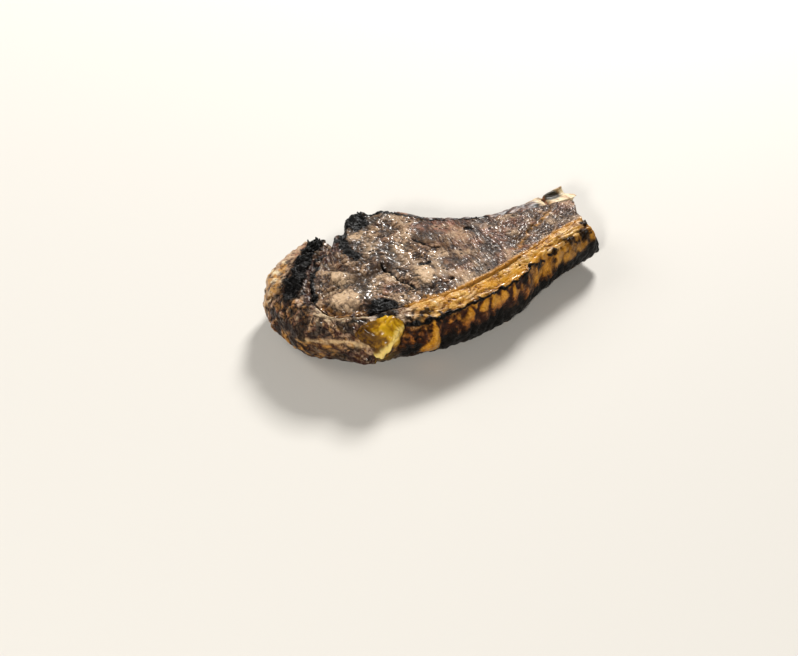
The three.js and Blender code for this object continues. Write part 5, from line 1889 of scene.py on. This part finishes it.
@dataclass
class CharCrumbs:
    """Loose crumbs of char that cling to the charred places on top of the steak."""

    name: str = "char_crumbs"
    finish: CharredCrumb = field(default_factory=CharredCrumb)
    count: int = 260
    size: Pair = (0.3, 1.0)
    stretch: Pair = (0.6, 1.2)
    jitter: float = 0.35
    stand_out: float = 0.25  # how far a crumb's middle stands off the surface, in its own size
    least_char: float = 0.8
    least_height: float = 26
    seed: int = 5

    def sites(self, hosts: list[Thing]) -> tuple[Array, Array]:
        """Return the places and normals of the charred vertices on top of the host pieces."""
        spots, outs = [], []
        for host in hosts:
            place, normal = read_vertices(host.data)
            high = (normal[:, 2] > 0.2) & (place[:, 2] > self.least_height * MM)
            burnt = (get_share(host.data, "char") > self.least_char) & high
            spots.append(place[burnt])
            outs.append(normal[burnt])
        return np.concatenate(spots), np.concatenate(outs)

    @staticmethod
    def ball() -> tuple[Array, Array]:
        """Return the corners of a regular twenty-faced ball of radius 1 and its faces, outwards."""
        golden = (1 + 5**0.5) / 2
        corners = np.array([(0, a, b * golden) for a in (-1, 1) for b in (-1, 1)], float)
        ball = np.concatenate([np.roll(corners, k, axis=1) for k in range(3)]) / np.hypot(1, golden)
        triples = np.array(list(itertools.combinations(range(len(ball)), 3)))
        sides = np.linalg.norm(ball[triples] - ball[np.roll(triples, 1, axis=1)], axis=2)
        faces = triples[(sides < 1.1).all(1)]
        a, b, c = (ball[faces[:, k]] for k in range(3))
        inward = np.einsum("ij,ij->i", a, np.cross(b, c)) < 0
        faces[inward] = faces[inward][:, ::-1]
        return ball, faces

    def build(self, hosts: list[Thing]) -> Thing:
        """Scatter jittered twenty-faced crumbs on the charred vertices of the host pieces.

        Args:
            hosts: Finished pieces with a char attribute.

        Returns:
            One object that holds all the crumbs.
        """
        rng = np.random.default_rng(self.seed)
        spots, outs = self.sites(hosts)
        pick = rng.choice(len(spots), self.count, replace=False)
        ball, faces = self.ball()
        size = rng.uniform(*self.size, (self.count, 1, 1)) * MM
        jitter = 1 + self.jitter * rng.uniform(-1, 1, (self.count, len(ball), 1))
        stretch = rng.uniform(*self.stretch, (self.count, 1, 3))
        middle = spots[pick][:, None]
        points = middle + ball * jitter * stretch * size + outs[pick][:, None] * size * self.stand_out
        low, high = (np.array(corner) for corner in CAD_BOX)
        points = np.clip(points, low, high)
        mesh = bpy.data.meshes.new(self.name)
        numbers = (faces[None] + len(ball) * np.arange(self.count)[:, None, None]).reshape(-1, 3)
        mesh.from_pydata(points.reshape(-1, 3), [], numbers.tolist())
        mesh.validate()
        mesh.materials.append(self.finish.material())
        piece = link_object(self.name, mesh)
        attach(piece, "root")
        log.info("%s: %d crumbs", self.name, self.count)
        return piece


@dataclass
class Studio:
    """Plain pale floor, soft lights and the photograph's camera, placed in millimetres on the plan."""

    camera_at: Triple = (-178.708, -455.255, 381.017)
    look: Triple = (0.23497, 0.72533, -0.64707)
    right: Triple = (0.94154, -0.33520, -0.03385)
    lens: float = 39.09
    film_width: float = 36
    clip: Pair = (0.01, 20)
    floor_colour: str = "#d3d0ca"
    floor_half: float = 3.0  # metres
    floor_drop: float = 0.0002  # metres below the steak
    air: tuple[float, float, float, float] = (1.0, 0.97, 0.93, 1)
    air_strength: float = 0.1
    # Each light's name, place, size in metres, power in watts and linear colour.
    lights: tuple = (
        ("key_behind", (1430, 1840, 1750), 0.6, 115, (1.0, 0.98, 0.95)),
        ("back_soft", (-1300, 1200, 1400), 1.2, 18, (1.0, 0.98, 0.95)),
        ("front_fill", (-1150, -1450, 1000), 0.25, 30, (1.0, 0.97, 0.92)),
    )
    lit_place: Triple = (0, 0, 20)

    def place(self, at: Any) -> Vector:
        """Return a plan position in the part's frame, in metres."""
        return Vector((np.array(at, float) + PLAN_TO_PART) * MM)

    def build_camera(self) -> Thing:
        """Make the camera, whose place, axes and lens were solved from the photograph."""
        data = bpy.data.cameras.new("camera")
        data.lens = self.lens
        data.sensor_width = self.film_width
        data.clip_start, data.clip_end = self.clip
        back = -Vector(self.look).normalized()
        right = Vector(self.right)
        right = (right - right.dot(back) * back).normalized()
        turn = Matrix((right, back.cross(right), back)).transposed()
        camera = link_object("camera", data)
        camera.matrix_world = Matrix.Translation(self.place(self.camera_at)) @ turn.to_4x4()
        bpy.context.scene.camera = camera
        return camera

    def build_floor(self) -> Thing:
        """Make the floor: a wide level sheet just under the steak."""
        half, under = self.floor_half, -self.floor_drop
        mesh = bpy.data.meshes.new("floor")
        corners = [(-half, -half, under), (half, -half, under), (half, half, under), (-half, half, under)]
        mesh.from_pydata(corners, [], [(0, 1, 2, 3)])
        mesh.materials.append(Palette("plain_floor").finish(Base_Color=self.floor_colour, Roughness=0.8))
        floor = link_object("floor", mesh)
        return floor

    def build_light(self, name: str, at: tuple, size: float, watts: float, colour: tuple) -> Thing:
        """Make a square soft light that faces the steak.

        Args:
            name: Name of the light.
            at: Position on the plan in millimetres.
            size: Side of the square in metres.
            watts: Power.
            colour: Linear colour.

        Returns:
            The light.
        """
        data = bpy.data.lights.new(name, "AREA")
        data.size = size
        data.energy = watts
        data.color = colour
        light = link_object(name, data)
        light.location = self.place(at)
        light.rotation_mode = "QUATERNION"
        light.rotation_quaternion = (self.place(self.lit_place) - light.location).to_track_quat("-Z", "Y")
        return light

    def build(self) -> None:
        """Make the floor, lights, world and camera."""
        self.build_floor()
        for light in self.lights:
            self.build_light(*light)
        world = bpy.data.worlds.new("studio_air")
        world.use_nodes = True
        background = world.node_tree.nodes["Background"]
        background.inputs["Color"].default_value = self.air
        background.inputs["Strength"].default_value = self.air_strength
        bpy.context.scene.world = world
        bpy.context.scene.view_settings.view_transform = "Standard"
        self.build_camera()
        log.info("studio: floor, lights and camera")


def main() -> None:
    """Build the studio and the steak's pieces in order."""
    logging.basicConfig(level=logging.INFO, format="%(name)s: %(message)s")
    Studio().build()
    pieces = [Meat().build(), Cap().build(), FatBand().build(), FatLump().build(), Rib().build()]
    CharCrumbs().build(pieces[:3])


if __name__ == "__main__":
    main()
